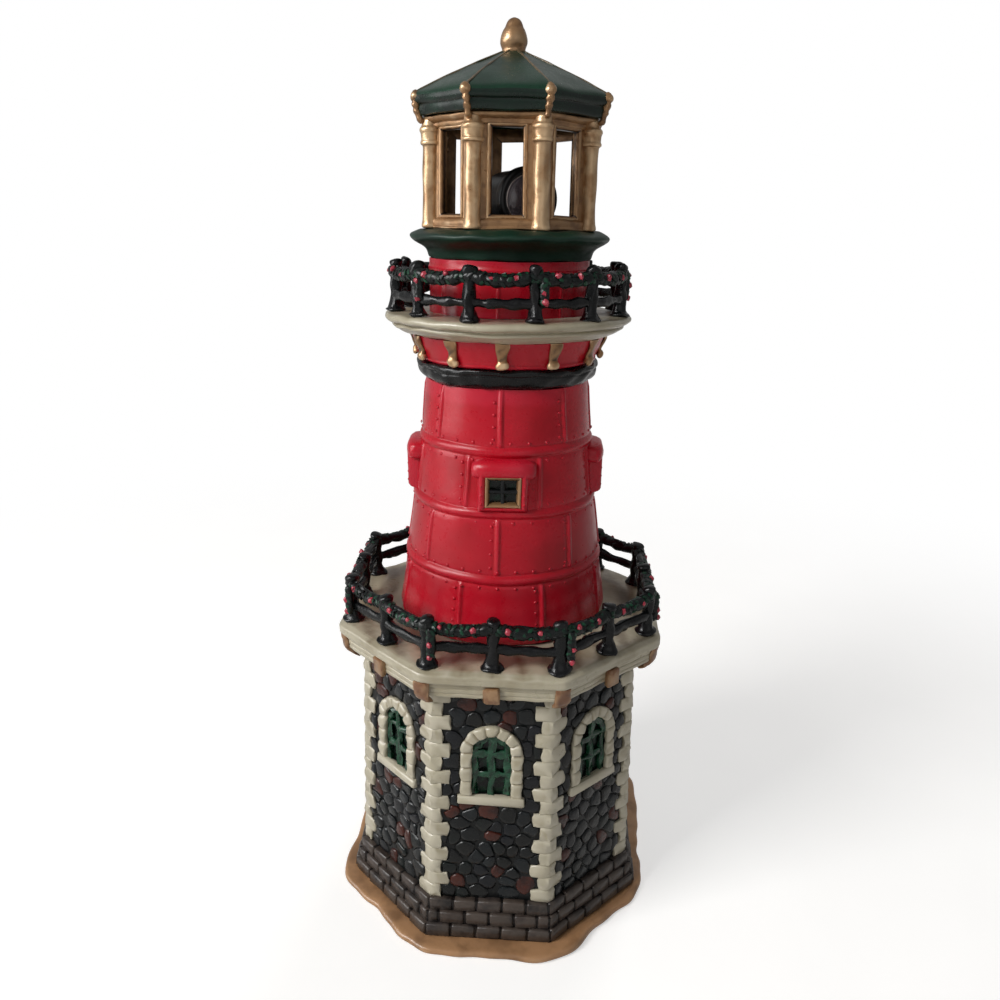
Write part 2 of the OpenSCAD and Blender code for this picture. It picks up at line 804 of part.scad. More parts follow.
module tower_shell() {
    color([0.72, 0.07, 0.14]) translate([0, 0, z_walk]) difference() {
        union() {
            rotate_extrude($fn = 96) tower_skin_2d();
            at_tower_windows() window_boss();
        }
        rotate_extrude($fn = 96) tower_hollow_2d();
        at_tower_windows() translate([-frame_w / 2, -boss_y - eps, 0])
            cube([frame_w, 10 + eps, frame_h]);
    }
}

module square_frames() {
    color([0.72, 0.55, 0.36]) translate([0, 0, z_walk]) at_tower_windows()
        upright(-frame_y, 2.2) difference() {
            translate([-frame_w / 2, 0]) square([frame_w, frame_h]);
            translate([-frame_w / 2 + frame_bar, frame_bar])
                square([frame_w - 2 * frame_bar, frame_h - 2 * frame_bar]);
        }
}

module square_grilles() {
    clear_w = frame_w - 2 * frame_bar;
    clear_h = frame_h - 2 * frame_bar;
    color([0.06, 0.06, 0.07]) translate([0, 0, z_walk]) at_tower_windows()
        upright(-frame_y + 0.8, 0.9) {
            translate([-clear_w / 2, frame_h / 2 - bar_w / 2]) square([clear_w, bar_w]);
            translate([-bar_w / 2, frame_bar]) square([bar_w, clear_h]);
        }
}

module square_panes() {
    color([0.05, 0.05, 0.06]) translate([0, 0, z_walk]) at_tower_windows()
        upright(-frame_y + 2.2, pane_t) translate([-frame_w / 2, 0])
            square([frame_w, frame_h]);
}

// Gallery
module ring_moulding() {
    hole_r = tower_top_r - tower_wall;
    bead = ring_h * 0.28;
    color([0.06, 0.06, 0.07]) translate([0, 0, z_ring]) rotate_extrude($fn = 96) {
        polygon([[hole_r, 0], [tower_top_r + 0.2, 0], [ring_r - 0.7, ring_h * 0.4],
            [ring_r - 0.7, ring_h * 0.9], [flare_low_r, ring_h], [hole_r, ring_h]]);
        translate([ring_r - bead, ring_h * 0.62]) circle(r = bead);
    }
}

// Radius of the flare's face at a height over its foot
function flare_r(z) = flare_low_r + flare_spread * z / flare_h;

module gallery_flare() {
    color([0.72, 0.07, 0.14]) translate([0, 0, z_flare]) rotate_extrude($fn = 96) polygon([
        [flare_low_r - flare_wall, 0], [flare_low_r, 0], [flare_top_r, flare_h],
        [flare_low_r - flare_wall, flare_h]]);
}

// Outline of a bracket from the flare's face: a leaf that curls into a scroll at its foot
module bracket_2d() {
    foot = 1.2;
    curl = 1.6;
    difference() {
        union() {
            translate([flare_r(foot + curl) + 0.2, foot + curl]) circle(r = curl, $fn = 32);
            polygon([
                [flare_low_r, foot + 1.2], [flare_r(foot + 2) + 1.4, foot + 2],
                [flare_r(foot + 4) + 0.5, foot + 4], [under_r - 0.3, flare_h],
                [flare_low_r, flare_h]]);
        }
        polygon([[0, -eps], [flare_low_r, 0], [flare_top_r, flare_h], [0, flare_h]]);
        translate([0, flare_h]) square([gallery_r, 5]);
    }
}

module gallery_brackets() {
    color([0.72, 0.55, 0.36]) for (i = [0:bracket_count - 1])
        translate([0, 0, z_flare]) rotate(i * 360 / bracket_count)
            translate([0, bracket_w / 2, 0]) rotate([90, 0, 0]) linear_extrude(bracket_w)
                bracket_2d();
}

module gallery_deck() {
    color([0.80, 0.77, 0.68]) translate([0, 0, z_gallery]) rotate_extrude($fn = 96) {
        polygon([
            [gallery_hole_r, 0], [under_r, 0], [under_r + 1.6, 0.7], [torus_r - 1.4, 1.5],
            [torus_r - 0.5, torus_h + 1.6], [torus_r, gallery_h - rim_h / 2],
            [deck_edge_r, gallery_h - 0.2], [deck_edge_r - 0.6, gallery_h],
            [gallery_hole_r, gallery_h]]);
        translate([torus_r - 0.6, torus_h + 1.5]) circle(r = torus_h / 2 + 0.15, $fn = 24);
        translate([gallery_r - rim_h / 2, gallery_h - 0.2 - rim_h / 2])
            circle(r = rim_h / 2, $fn = 32);
    }
}

// Drum, collar and lantern
module upper_drum() {
    color([0.72, 0.07, 0.14]) translate([0, 0, z_floor]) difference() {
        cylinder(r = drum_r, h = drum_h, $fn = 96);
        translate([0, 0, -eps]) cylinder(r = drum_r - drum_wall, h = drum_h + 2 * eps, $fn = 96);
    }
}

module lantern_collar() {
    neck_r = drum_r + 0.2;
    lip = collar_r - 0.8;
    color([0.05, 0.20, 0.14]) translate([0, 0, z_collar]) rotate_extrude($fn = 96) {
        polygon([
            [gallery_hole_r, 0], [neck_r, 0], [neck_r + 1.1, collar_h * 0.3],
            [neck_r + 2.6, collar_h * 0.47], [lip - 0.4, collar_h * 0.6], [lip, collar_h * 0.72],
            [lip - 0.4, collar_h - 0.4], [lip - 1.6, collar_h], [floor_r, collar_h],
            [floor_r, collar_shelf], [gallery_hole_r, collar_shelf]]);
        translate([lip - 0.3, collar_h * 0.74]) circle(r = 1.1, $fn = 24);
    }
}

module columns_2d() {
    at_each_side() rotate(half_turn) translate([0, -column_at]) circle(r = column_r);
}

module lantern_cage() {
    color([0.72, 0.55, 0.36]) difference() {
        union() {
            translate([0, 0, z_cage]) linear_extrude(cage_h) octagon(cage_r);
            translate([0, 0, z_cage]) linear_extrude(cage_sill_h - 1)
                octagon(cage_r + cage_band);
            translate([0, 0, z_roof - cage_frieze_h + 0.8])
                linear_extrude(cage_frieze_h - 0.8) octagon(cage_r + cage_band);
        }
        translate([0, 0, z_cage - eps]) linear_extrude(cage_h + 2 * eps)
            octagon(cage_inner / flat);
        at_each_side() translate([-lantern_w / 2, -cage_r - eps, window_z])
            cube([lantern_w, cage_t + 2 * (1 + eps), window_h]);
        translate([0, 0, z_cage - eps]) linear_extrude(cage_h + 2 * eps) columns_2d();
        at_each_side() rotate(half_turn) translate([0, -column_at, z_roof - capital_z])
            cylinder(r = capital_r, h = capital_h);
    }
}

module lantern_columns() {
    color([0.72, 0.55, 0.36]) at_each_side() rotate(half_turn)
        translate([0, -column_at, z_cage]) {
            cylinder(r = column_r, h = cage_h);
            translate([0, 0, cage_h - capital_z]) cylinder(r = capital_r, h = capital_h);
        }
}

// Roof
module roof() {
    color([0.06, 0.22, 0.16]) difference() {
        union() {
            translate([0, 0, z_roof]) linear_extrude(fascia_h * 0.5) octagon(fascia_low_r);
            translate([0, 0, z_roof + fascia_h * 0.5]) linear_extrude(fascia_h * 0.5)
                octagon(roof_r);
            translate([0, 0, z_pitch]) rotate(half_turn)
                cylinder(r1 = roof_r - pitch_in, r2 = roof_seat_r, h = roof_rise, $fn = sides);
            at_each_side() rotate(half_turn) roof_rib();
        }
        translate([0, 0, z_roof - eps]) linear_extrude(fascia_h + eps)
            octagon(cage_inner / flat);
        translate([0, 0, z_pitch - 0.01]) rotate(half_turn)
            cylinder(r1 = cage_inner / flat, r2 = 1, h = roof_rise - roof_wall, $fn = sides);
    }
}

module roof_rib() {
    run = roof_r - pitch_in - roof_seat_r;
    translate([0, -roof_r + 0.9, z_pitch]) rotate([-atan(run / roof_rise), 0, 0])
        cylinder(r = rib_r, h = norm([run, roof_rise]) - 1.2, $fn = 16);
}

module roof_beads() {
    color([0.72, 0.55, 0.36]) at_each_side() rotate(half_turn)
        for (k = [0:len(bead_shares) - 1])
            translate([0, -roof_r + bead_out + bead_in * k, z_pitch - bead_low - bead_drop * k])
                sphere(r = bead_big * bead_shares[k], $fn = 24);
}

module finial() {
    h = finial_h;
    r = finial_r;
    color([0.72, 0.55, 0.36]) translate([0, 0, z_finial]) rotate_extrude() polygon([
        [0, 0], [roof_seat_r, 0], [roof_seat_r + 0.2, 0.07 * h], [roof_seat_r - 0.1, 0.13 * h],
        [r * 0.94, 0.22 * h], [r, 0.34 * h], [r * 0.93, 0.48 * h], [r * 0.76, 0.62 * h],
        [r * 0.55, 0.73 * h], [r * 0.42, 0.8 * h], [r * 0.4, 0.86 * h], [r * 0.3, 0.94 * h],
        [r * 0.12, h], [0, h]]);
}

// Parts inside the lantern and drum
module lantern_floor() {
    color([0.12, 0.12, 0.13]) translate([0, 0, z_lantern_floor - floor_t]) difference() {
        cylinder(r = floor_r - 0.05, h = floor_t, $fn = 96);
        translate([0, 0, -eps]) cylinder(r = bush_r, h = floor_t + 2 * eps);
    }
}

// A flanged bush round the spindle, its flange on top
module bush(h) {
    difference() {
        union() {
            cylinder(r = bush_r, h = h);
            translate([0, 0, h - bush_flange_h]) cylinder(r = bush_r + 1.2, h = bush_flange_h);
        }
        translate([0, 0, -eps]) cylinder(r = spindle_r + running_gap, h = h + 2 * eps);
    }
}

module upper_bush() {
    color([0.70, 0.50, 0.25]) translate([0, 0, z_lantern_floor - floor_t])
        bush(floor_t + bush_flange_h);
}

module lower_bush() {
    color([0.70, 0.50, 0.25]) translate([0, 0, z_motor_plate])
        bush(motor_plate_t + bush_flange_h);
}

screw_spread = 4.2;

module motor_plate() {
    color([0.80, 0.80, 0.78]) translate([0, 0, z_motor_plate]) difference() {
        cylinder(r = motor_plate_r, h = motor_plate_t, $fn = 96);
        translate([0, 0, -eps]) cylinder(r = bush_r, h = motor_plate_t + 2 * eps);
        translate([motor_x, 0, -eps]) cylinder(r = motor_shaft_r + 1.4, h = motor_plate_t + 2 * eps);
        for (y = [-screw_spread, screw_spread]) translate([motor_x, y, -eps])
            cylinder(r = screw_r, h = motor_plate_t + 2 * eps);
    }
}

module motor() {
    color([0.62, 0.62, 0.64]) translate([motor_x, 0, z_motor_plate]) difference() {
        union() {
            translate([0, 0, -motor_l]) cylinder(r = motor_r, h = motor_l);
            cylinder(r = motor_shaft_r + 1.4, h = 1);
        }
        translate([0, 0, -6]) cylinder(r = motor_shaft_r + running_gap, h = 8);
        for (y = [-screw_spread, screw_spread]) translate([0, y, -3]) cylinder(r = screw_r, h = 4);
    }
}

module motor_screws() {
    color([0.75, 0.75, 0.77]) for (y = [-screw_spread, screw_spread])
        translate([motor_x, y, z_motor_plate - 3]) {
            cylinder(r = screw_r, h = motor_plate_t + 3);
            translate([0, 0, motor_plate_t + 3]) cylinder(r = screw_r * 1.5, h = 0.5);
        }
}

// Brush block opposite the motor, with a leaf for each slip ring
module brush_block() {
    block = [4, 6, z_rings + hub_h - z_motor_plate - motor_plate_t];
    block_x = gear_r + 1.2;
    leaf_x = slip_r + brush_gap;
    color([0.35, 0.25, 0.18]) {
        translate([-block_x - block[0], -block[1] / 2, z_motor_plate + motor_plate_t])
            cube(block);
        for (k = [0, 1]) translate([-block_x, -1, z_rings + 0.8 + 2 * k])
            cube([block_x - leaf_x, 2, ring_t]);
    }
}

// Base plate with its battery box
module base_plate() {
    box_l = bay_l + 2 * plastic_t;
    box_w = bay_w + 2 * plastic_t;
    color([0.10, 0.10, 0.11]) difference() {
        union() {
            translate([0, 0, z_plate]) linear_extrude(plastic_t) octagon(plate_r);
            translate([-box_l / 2, -box_w / 2, z_plate]) cube([box_l, box_w, z_box_top - z_plate]);
        }
        translate([-bay_l / 2, -bay_w / 2, z_plate - eps])
            cube([bay_l, bay_w, z_bay_top - z_plate + eps]);
        for (a = [0:90:270]) rotate(a) translate([boss_at, 0, z_plate - eps])
            cylinder(r = pilot_r + 0.15, h = plastic_t + 2 * eps);
        for (a = [0:90:270]) rotate(a) translate([boss_at, 0, z_plate - eps])
            cylinder(r = 2.3, h = 0.9 + eps);
    }
}

module base_screws() {
    color([0.75, 0.75, 0.77]) for (a = [0:90:270]) rotate(a)
        translate([boss_at, 0, z_plate + 0.1]) {
            cylinder(r = 2.2, h = 0.8);
            cylinder(r = pilot_r, h = plastic_t + boss_h - 2);
        }
}

module battery_cells() {
    color([0.45, 0.45, 0.48]) for (k = [0:cell_count - 1])
        translate([-cell_l / 2, (k - (cell_count - 1) / 2) * cell_pitch, z_cell])
            rotate([0, 90, 0]) {
                cylinder(r = cell_r, h = cell_l - 1.2);
                cylinder(r = 2.6, h = cell_l);
            }
}

// A flat plate at one end of the bay and a coiled spring's sleeve at the other
module battery_contacts() {
    plate_w = 9;
    color([0.80, 0.78, 0.72]) for (k = [0:cell_count - 1])
        translate([0, (k - (cell_count - 1) / 2) * cell_pitch, z_cell]) {
            translate([bay_l / 2 - 0.5, -plate_w / 2, -plate_w / 2])
                cube([0.5, plate_w, plate_w]);
            translate([cell_l / 2, 0, 0]) rotate([0, 90, 0])
                cylinder(r = 2, h = contact_room - 0.5);
            translate([-bay_l / 2, -plate_w / 2, -plate_w / 2]) cube([0.5, plate_w, plate_w]);
            translate([-bay_l / 2 + 0.5, 0, 0]) rotate([0, 90, 0])
                cylinder(r = 2.8, h = contact_room - 0.5);
        }
}

module lamp_holder() {
    color([0.85, 0.84, 0.80]) translate([0, 0, z_box_top]) {
        cylinder(r = lamp_r + holder_foot_w, h = holder_foot_h);
        translate([0, 0, holder_foot_h]) cylinder(r = lamp_r, h = holder_h);
    }
}

module house_lamp() {
    r = lamp_r;
    h = lamp_h;
    color([0.95, 0.90, 0.75]) translate([0, 0, z_box_top + holder_foot_h + holder_h])
        rotate_extrude() polygon([
            [0, 0], [0.78 * r, 0], [0.89 * r, 0.11 * h], [1.11 * r, 0.33 * h],
            [1.07 * r, 0.5 * h], [0.7 * r, 0.74 * h], [0.3 * r, 0.96 * h], [0, h]]);
}

// Hardware on the rear wall
module rear_panel() {
    color([0.08, 0.08, 0.09]) on_wall(rear_side) translate([0, 0, panel_z - panel_h / 2])
        upright(-panel_t, panel_t) difference() {
            translate([-panel_w / 2, 0]) square([panel_w, panel_h]);
            translate([switch_x - slot_w / 2, panel_h / 2 - slot_h / 2]) square([slot_w, slot_h]);
            translate([jack_x, panel_h / 2]) circle(r = jack_r);
        }
}

// The case is open towards the panel; the slider's plate runs in it
case_w = 10;
case_h = 6;
case_d = 6;
slider_plate = 1.2;
slider_gap = 0.15;
slider_plate_w = case_w - 2 - slider_travel - 2 * slider_gap;

module switch_case() {
    color([0.55, 0.56, 0.58]) on_wall(rear_side) translate([switch_x, 0, panel_z]) difference() {
        translate([-case_w / 2, 0, -case_h / 2]) cube([case_w, case_d, case_h]);
        translate([-case_w / 2 + 1, -eps, -case_h / 2 + 1])
            cube([case_w - 2, slider_plate + 2 * slider_gap + eps, case_h - 2]);
    }
}

// Drawn in the off position, at the -x end of its travel
module switch_slider() {
    color([0.85, 0.85, 0.83]) on_wall(rear_side)
        translate([switch_x - slider_travel / 2, 0, panel_z]) {
            translate([-slider_plate_w / 2, slider_gap, -case_h / 2 + 1 + slider_gap])
                cube([slider_plate_w, slider_plate, case_h - 2 - 2 * slider_gap]);
            translate([-knob_w / 2, -panel_t - 1.6, -knob_h / 2])
                cube([knob_w, panel_t + 1.6 + slider_gap, knob_h]);
        }
}

module power_jack() {
    jack_floor = 1.8;
    pin_r = 0.65;
    color([0.08, 0.08, 0.09]) on_wall(rear_side) translate([jack_x, 0, panel_z])
        rotate([-90, 0, 0]) {
            difference() {
                translate([0, 0, -panel_t]) cylinder(r = jack_r, h = jack_l);
                translate([0, 0, -panel_t - eps])
                    cylinder(r = jack_bore_r, h = jack_l - jack_floor + eps);
            }
            translate([0, 0, 1]) cylinder(r = pin_r, h = jack_l - panel_t - jack_floor);
        }
}

// Bundle of wires from the battery box up to the motor, as level rings joined up the route
loom_r = 0.9;
loom_sides = 8;
loom_in = 8.25;
loom_x = bay_l / 2 - loom_in;
loom_y = bay_w / 2 - loom_in;
z_motor_foot = z_motor_plate - motor_l;
loom = [[loom_x, loom_y, z_box_top], [loom_x, loom_y, z_wall + 0.28 * wall_h],
    [0.95 * loom_x, 0.95 * loom_y, z_wall + 0.5 * wall_h],
    [0.8 * loom_x, 0.8 * loom_y, z_wall + 0.9 * wall_h], [0.75 * loom_x, 0.75 * loom_y, z_walk],
    [0.7 * loom_x, 0.5 * loom_y, z_walk + 0.4 * tower_h],
    [motor_x, 0, z_motor_foot - 0.15 * tower_h], [motor_x, 0, z_motor_foot]];

module wire_loom() {
    n = len(loom);
    m = loom_sides;
    points = [for (p = loom) for (j = [0:m - 1])
        p + loom_r * [cos(j * 360 / m), sin(j * 360 / m), 0]];
    walls = [for (k = [0:n - 2]) for (j = [0:m - 1])
        let (p = k * m + j, q = k * m + (j + 1) % m) each [[p, p + m, q], [q, p + m, q + m]]];
    ends = [[for (j = [0:m - 1]) j], [for (j = [m - 1:-1:0]) (n - 1) * m + j]];
    color([0.55, 0.10, 0.10]) polyhedron(points, concat(walls, ends));
}

// Beacon lamp, drawn about its own axis: +z of the lamp's frame points out of the lens
module on_lamp_axis() {
    translate([0, 0, z_beacon]) rotate([0, 0, beacon_heading]) rotate([0, 90, 0]) children();
}

module beacon_barrel() {
    color([0.07, 0.07, 0.08]) difference() {
        union() {
            on_lamp_axis() translate([0, 0, -barrel_back]) rotate_extrude() polygon([
                [0, 0], [barrel_r * 0.55, 0], [barrel_r * 0.88, 1.4], [barrel_r, 4],
                [barrel_r, barrel_back + barrel_front], [0, barrel_back + barrel_front]]);
            translate([0, 0, z_stem]) cylinder(r = stem_r, h = 5);
        }
        on_lamp_axis() translate([0, 0, -barrel_back + barrel_floor])
            cylinder(r = barrel_r - barrel_wall, h = barrel_back + barrel_front);
        translate([0, 0, z_stem - eps]) cylinder(r = spindle_r, h = z_spindle_top - z_stem + eps);
    }
}

module beacon_bezel() {
    color([0.06, 0.06, 0.07]) on_lamp_axis() translate([0, 0, lamp_front - bezel_d])
        difference() {
            cylinder(r = bezel_r, h = bezel_d);
            translate([0, 0, -eps]) cylinder(r = barrel_r, h = bezel_d - bezel_lap + eps);
            cylinder(r = lens_r, h = bezel_d + eps);
        }
}

module beacon_reflector() {
    dish_r = barrel_r - barrel_wall;
    dish_d = barrel_front - lens_seat - 0.3;
    wall = 0.6;
    throat = bulb_stem_r + 0.1 + wall;
    steps = 8;
    outer = [for (i = [0:steps]) let (r = throat + (dish_r - throat) * i / steps)
        [r, dish_d * pow(r / dish_r, 2)]];
    inner = [for (i = [steps:-1:0]) outer[i] + [-wall, 0.1]];
    color([0.85, 0.85, 0.86]) on_lamp_axis() rotate_extrude() polygon(concat(outer, inner));
}

module beacon_lens() {
    flange_r = barrel_r - barrel_wall - 0.1;
    color([0.80, 0.82, 0.84]) on_lamp_axis() translate([0, 0, barrel_front])
        rotate_extrude() polygon([
            [0, -lens_seat], [flange_r, -lens_seat], [flange_r, 0], [lens_r, 0],
            [lens_r * 0.8, 0.9], [lens_r * 0.5, 1.5], [0, 1.8]]);
}

module beacon_bulb() {
    color([0.95, 0.92, 0.80]) on_lamp_axis() {
        translate([0, 0, -barrel_back + barrel_floor])
            cylinder(r = bulb_stem_r, h = barrel_back - barrel_floor + bulb_z);
        translate([0, 0, bulb_z]) cylinder(r = bulb_r, h = 3);
        translate([0, 0, bulb_z + 3]) sphere(r = bulb_r);
    }
}

module beacon_spindle() {
    color([0.75, 0.75, 0.77]) translate([0, 0, z_spindle])
        cylinder(r = spindle_r, h = z_spindle_top - z_spindle);
}

// Involute teeth: the flank starts at the base circle and ends at the tip circle
pressure = 20;
function roll_to(r, base) = r > base ? sqrt(pow(r / base, 2) - 1) : 0;
function flank_angle(r, base) = let (t = roll_to(r, base)) t * 180 / PI - atan(t);

module spur_gear(teeth, tip, t) {
    r = gear_module * teeth / 2;
    base = r * cos(pressure);
    top = r + tip * gear_module;
    root = r - 1.2 * gear_module;
    backlash = 0.1;
    half = 90 / teeth - backlash / 2 / r * 180 / PI + flank_angle(r, base);
    steps = 3;
    start = max(root, base);
    flank = [for (i = [0:steps]) let (q = start + (top - start) * i / steps)
        [q, half - flank_angle(q, base)]];
    outline = [for (k = [0:teeth - 1]) let (a = k * 360 / teeth) each concat(
        [[root, a - half]], [for (p = flank) [p[0], a - p[1]]],
        [for (i = [steps:-1:0]) [flank[i][0], a + flank[i][1]]], [[root, a + half]])];
    linear_extrude(t) polygon([for (p = outline) p[0] * [cos(p[1]), sin(p[1])]]);
}

module spindle_gear() {
    color([0.90, 0.88, 0.82]) translate([0, 0, z_gear]) difference() {
        union() {
            spur_gear(gear_teeth, 0.78, gear_t);
            cylinder(r = spindle_r + 1.4, h = gear_t + 1.2);
        }
        translate([0, 0, -eps]) cylinder(r = spindle_r, h = gear_t + 1.2 + 2 * eps);
    }
}

module slip_rings() {
    color([0.80, 0.62, 0.30]) translate([0, 0, z_rings]) difference() {
        union() {
            cylinder(r = spindle_r + 1.3, h = hub_h);
            for (k = [0, 1]) translate([0, 0, 0.8 + 2 * k]) cylinder(r = slip_r, h = ring_t);
        }
        translate([0, 0, -eps]) cylinder(r = spindle_r, h = hub_h + 2 * eps);
    }
}

module motor_shaft() {
    color([0.75, 0.75, 0.77]) translate([motor_x, 0, z_motor_plate - 5.7])
        cylinder(r = motor_shaft_r, h = z_gear + gear_t + 0.8 - z_motor_plate + 5.7);
}

// A gap between two of the pinion's teeth faces the spindle
module motor_pinion() {
    color([0.90, 0.88, 0.82]) translate([motor_x, 0, z_gear - 0.2]) difference() {
        rotate(180 + 180 / pinion_teeth) spur_gear(pinion_teeth, 0.9, gear_t + 0.4);
        translate([0, 0, -eps]) cylinder(r = motor_shaft_r, h = gear_t + 0.4 + 2 * eps);
    }
}

module battery_door() {
    gap = door_gap;
    clip_x = 4;
    clip_t = 1.2;
    clip_w = 12;
    color([0.10, 0.10, 0.11]) translate([-bay_l / 2 + gap, -bay_w / 2 + gap, z_plate]) {
        cube([bay_l - 2 * gap, bay_w - 2 * gap, plastic_t]);
        translate([clip_x, (bay_w - clip_w) / 2 - gap, plastic_t]) cube([clip_t, clip_w, 0.5]);
    }
}

sand_base();
brick_plinth();
stone_walls();
corner_stones();
window_surrounds();
glazing_bars();
window_panes();
lower_deck();
cornice_blocks();
lower_railing();
lower_garland();
berries();
tower_shell();
square_frames();
square_grilles();
square_panes();
ring_moulding();
gallery_flare();
gallery_brackets();
gallery_deck();
upper_railing();
upper_garland();
upper_drum();
lantern_collar();
lantern_cage();
lantern_columns();
roof();
roof_beads();
finial();
lantern_floor();
upper_bush();
motor_plate();
lower_bush();
motor();
motor_screws();
brush_block();
base_plate();
base_screws();
battery_cells();
battery_contacts();
lamp_holder();
house_lamp();
rear_panel();
switch_case();
power_jack();
wire_loom();
beacon_barrel();
beacon_bezel();
beacon_reflector();
beacon_lens();
beacon_bulb();
beacon_spindle();
spindle_gear();
slip_rings();
motor_shaft();
motor_pinion();
switch_slider();
battery_door();
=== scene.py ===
"""Lighted lighthouse figurine: the glazed, hand-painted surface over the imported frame.

Sizes are in millimetres up to the point where a mesh is made, and in metres after it.
"""
import json
import logging
import math
from dataclasses import dataclass
from enum import Enum
from typing import Any, Sequence

import bpy
import numpy as np
from mathutils import Matrix


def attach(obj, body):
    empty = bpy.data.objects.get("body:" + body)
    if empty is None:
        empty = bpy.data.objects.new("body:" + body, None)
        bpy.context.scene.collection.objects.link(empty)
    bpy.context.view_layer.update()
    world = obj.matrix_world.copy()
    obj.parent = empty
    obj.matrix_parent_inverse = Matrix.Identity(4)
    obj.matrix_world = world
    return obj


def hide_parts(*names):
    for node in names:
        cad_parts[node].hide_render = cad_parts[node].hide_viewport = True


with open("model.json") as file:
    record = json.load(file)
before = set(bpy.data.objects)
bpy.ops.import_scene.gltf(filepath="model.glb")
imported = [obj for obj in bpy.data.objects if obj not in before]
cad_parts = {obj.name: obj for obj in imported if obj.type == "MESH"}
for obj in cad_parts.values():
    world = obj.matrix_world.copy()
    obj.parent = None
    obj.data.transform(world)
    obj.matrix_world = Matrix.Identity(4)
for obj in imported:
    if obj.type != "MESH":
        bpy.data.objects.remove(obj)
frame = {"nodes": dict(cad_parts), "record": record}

Array = np.ndarray
Colour = tuple[float, float, float, float]
Screen = tuple[int, int, int]
log = logging.getLogger("lighthouse")

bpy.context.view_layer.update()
MM = 0.001
SIDES = 8
TURN = 2 * math.pi / SIDES
FLAT = math.cos(TURN / 2)  # distance of an octagon's flat over that of its corner
STATIONS = 144  # points round a piece that is turned on a lathe
UP = np.array([0.0, 0.0, 1.0])
WHITE: Colour = (1.0, 1.0, 1.0, 1.0)


def srgb(red: float, green: float, blue: float) -> Colour:
    """A colour written as it looks on screen, 0 to 255, as the linear colour that shaders use.

    Args:
        red, green, blue: Parts from 0 to 255.

    Returns:
        The linear colour, with alpha 1.
    """
    linear = [((c / 255 + 0.055) / 1.055) ** 2.4 if c > 10 else c / 255 / 12.92
              for c in (red, green, blue)]
    return (linear[0], linear[1], linear[2], 1.0)


class Slot(Enum):
    """The material slots of the record."""

    SAND = "sand_glaze"
    BRICK = "brick_glaze"
    STONE = "stone_glaze"
    CREAM = "cream_glaze"
    BRONZE = "bronze_glaze"
    RED = "red_glaze"
    BLACK = "black_glaze"
    GREEN = "green_glaze"
    SASH = "window_green"
    PANE = "dark_pane"
    GOLD = "gold_paint"
    RAIL = "railing_black"
    GARLAND = "garland_green"
    BERRY = "berry_red"
    DARK_PLASTIC = "black_plastic"
    PALE_PLASTIC = "white_plastic"
    BLOCK = "block_plastic"
    WIRE = "red_wire"
    SILVER = "silver_coat"
    LENS = "clear_glass"
    BULB = "warm_glass"
    STEEL = "steel"
    BRASS = "brass"


class Body(Enum):
    """The moving bodies of the frame."""

    ROOT = "root"
    BEACON = "beacon"
    ROTOR = "rotor"
    SLIDER = "slider"
    DOOR = "door"


# Shader nodes as expressions


class Sock:
    """An output socket whose arithmetic adds Math nodes."""

    def __init__(self, tree: "Tree", socket: bpy.types.NodeSocket) -> None:
        """Keeps the tree and the socket that it wraps."""
        self.tree = tree
        self.socket = socket

    def _math(self, operation: str, first: Any, second: Any) -> "Sock":
        """One Math node on two values, each a Sock or a number."""
        node = self.tree.node("Math", {"operation": operation}, {0: first, 1: second})
        return self.tree.out(node)

    def __add__(self, other: Any) -> "Sock":
        """self + other."""
        return self._math("ADD", self, other)

    __radd__ = __add__

    def __sub__(self, other: Any) -> "Sock":
        """self - other."""
        return self._math("SUBTRACT", self, other)

    def __rsub__(self, other: Any) -> "Sock":
        """other - self."""
        return self._math("SUBTRACT", other, self)

    def __mul__(self, other: Any) -> "Sock":
        """self times other."""
        return self._math("MULTIPLY", self, other)

    __rmul__ = __mul__

    def most(self, other: Any) -> "Sock":
        """The larger of self and other."""
        return self._math("MAXIMUM", self, other)

    def ramp(self, low: float, high: float) -> "Sock":
        """Rises smoothly from 0 at low to 1 at high.

        Args:
            low: Value that maps to 0.
            high: Value that maps to 1.

        Returns:
            The mapped value, clamped to 0..1.
        """
        node = self.tree.node("MapRange", {"interpolation_type": "SMOOTHSTEP"},
                              {"Value": self, "From Min": low, "From Max": high})
        return self.tree.out(node)


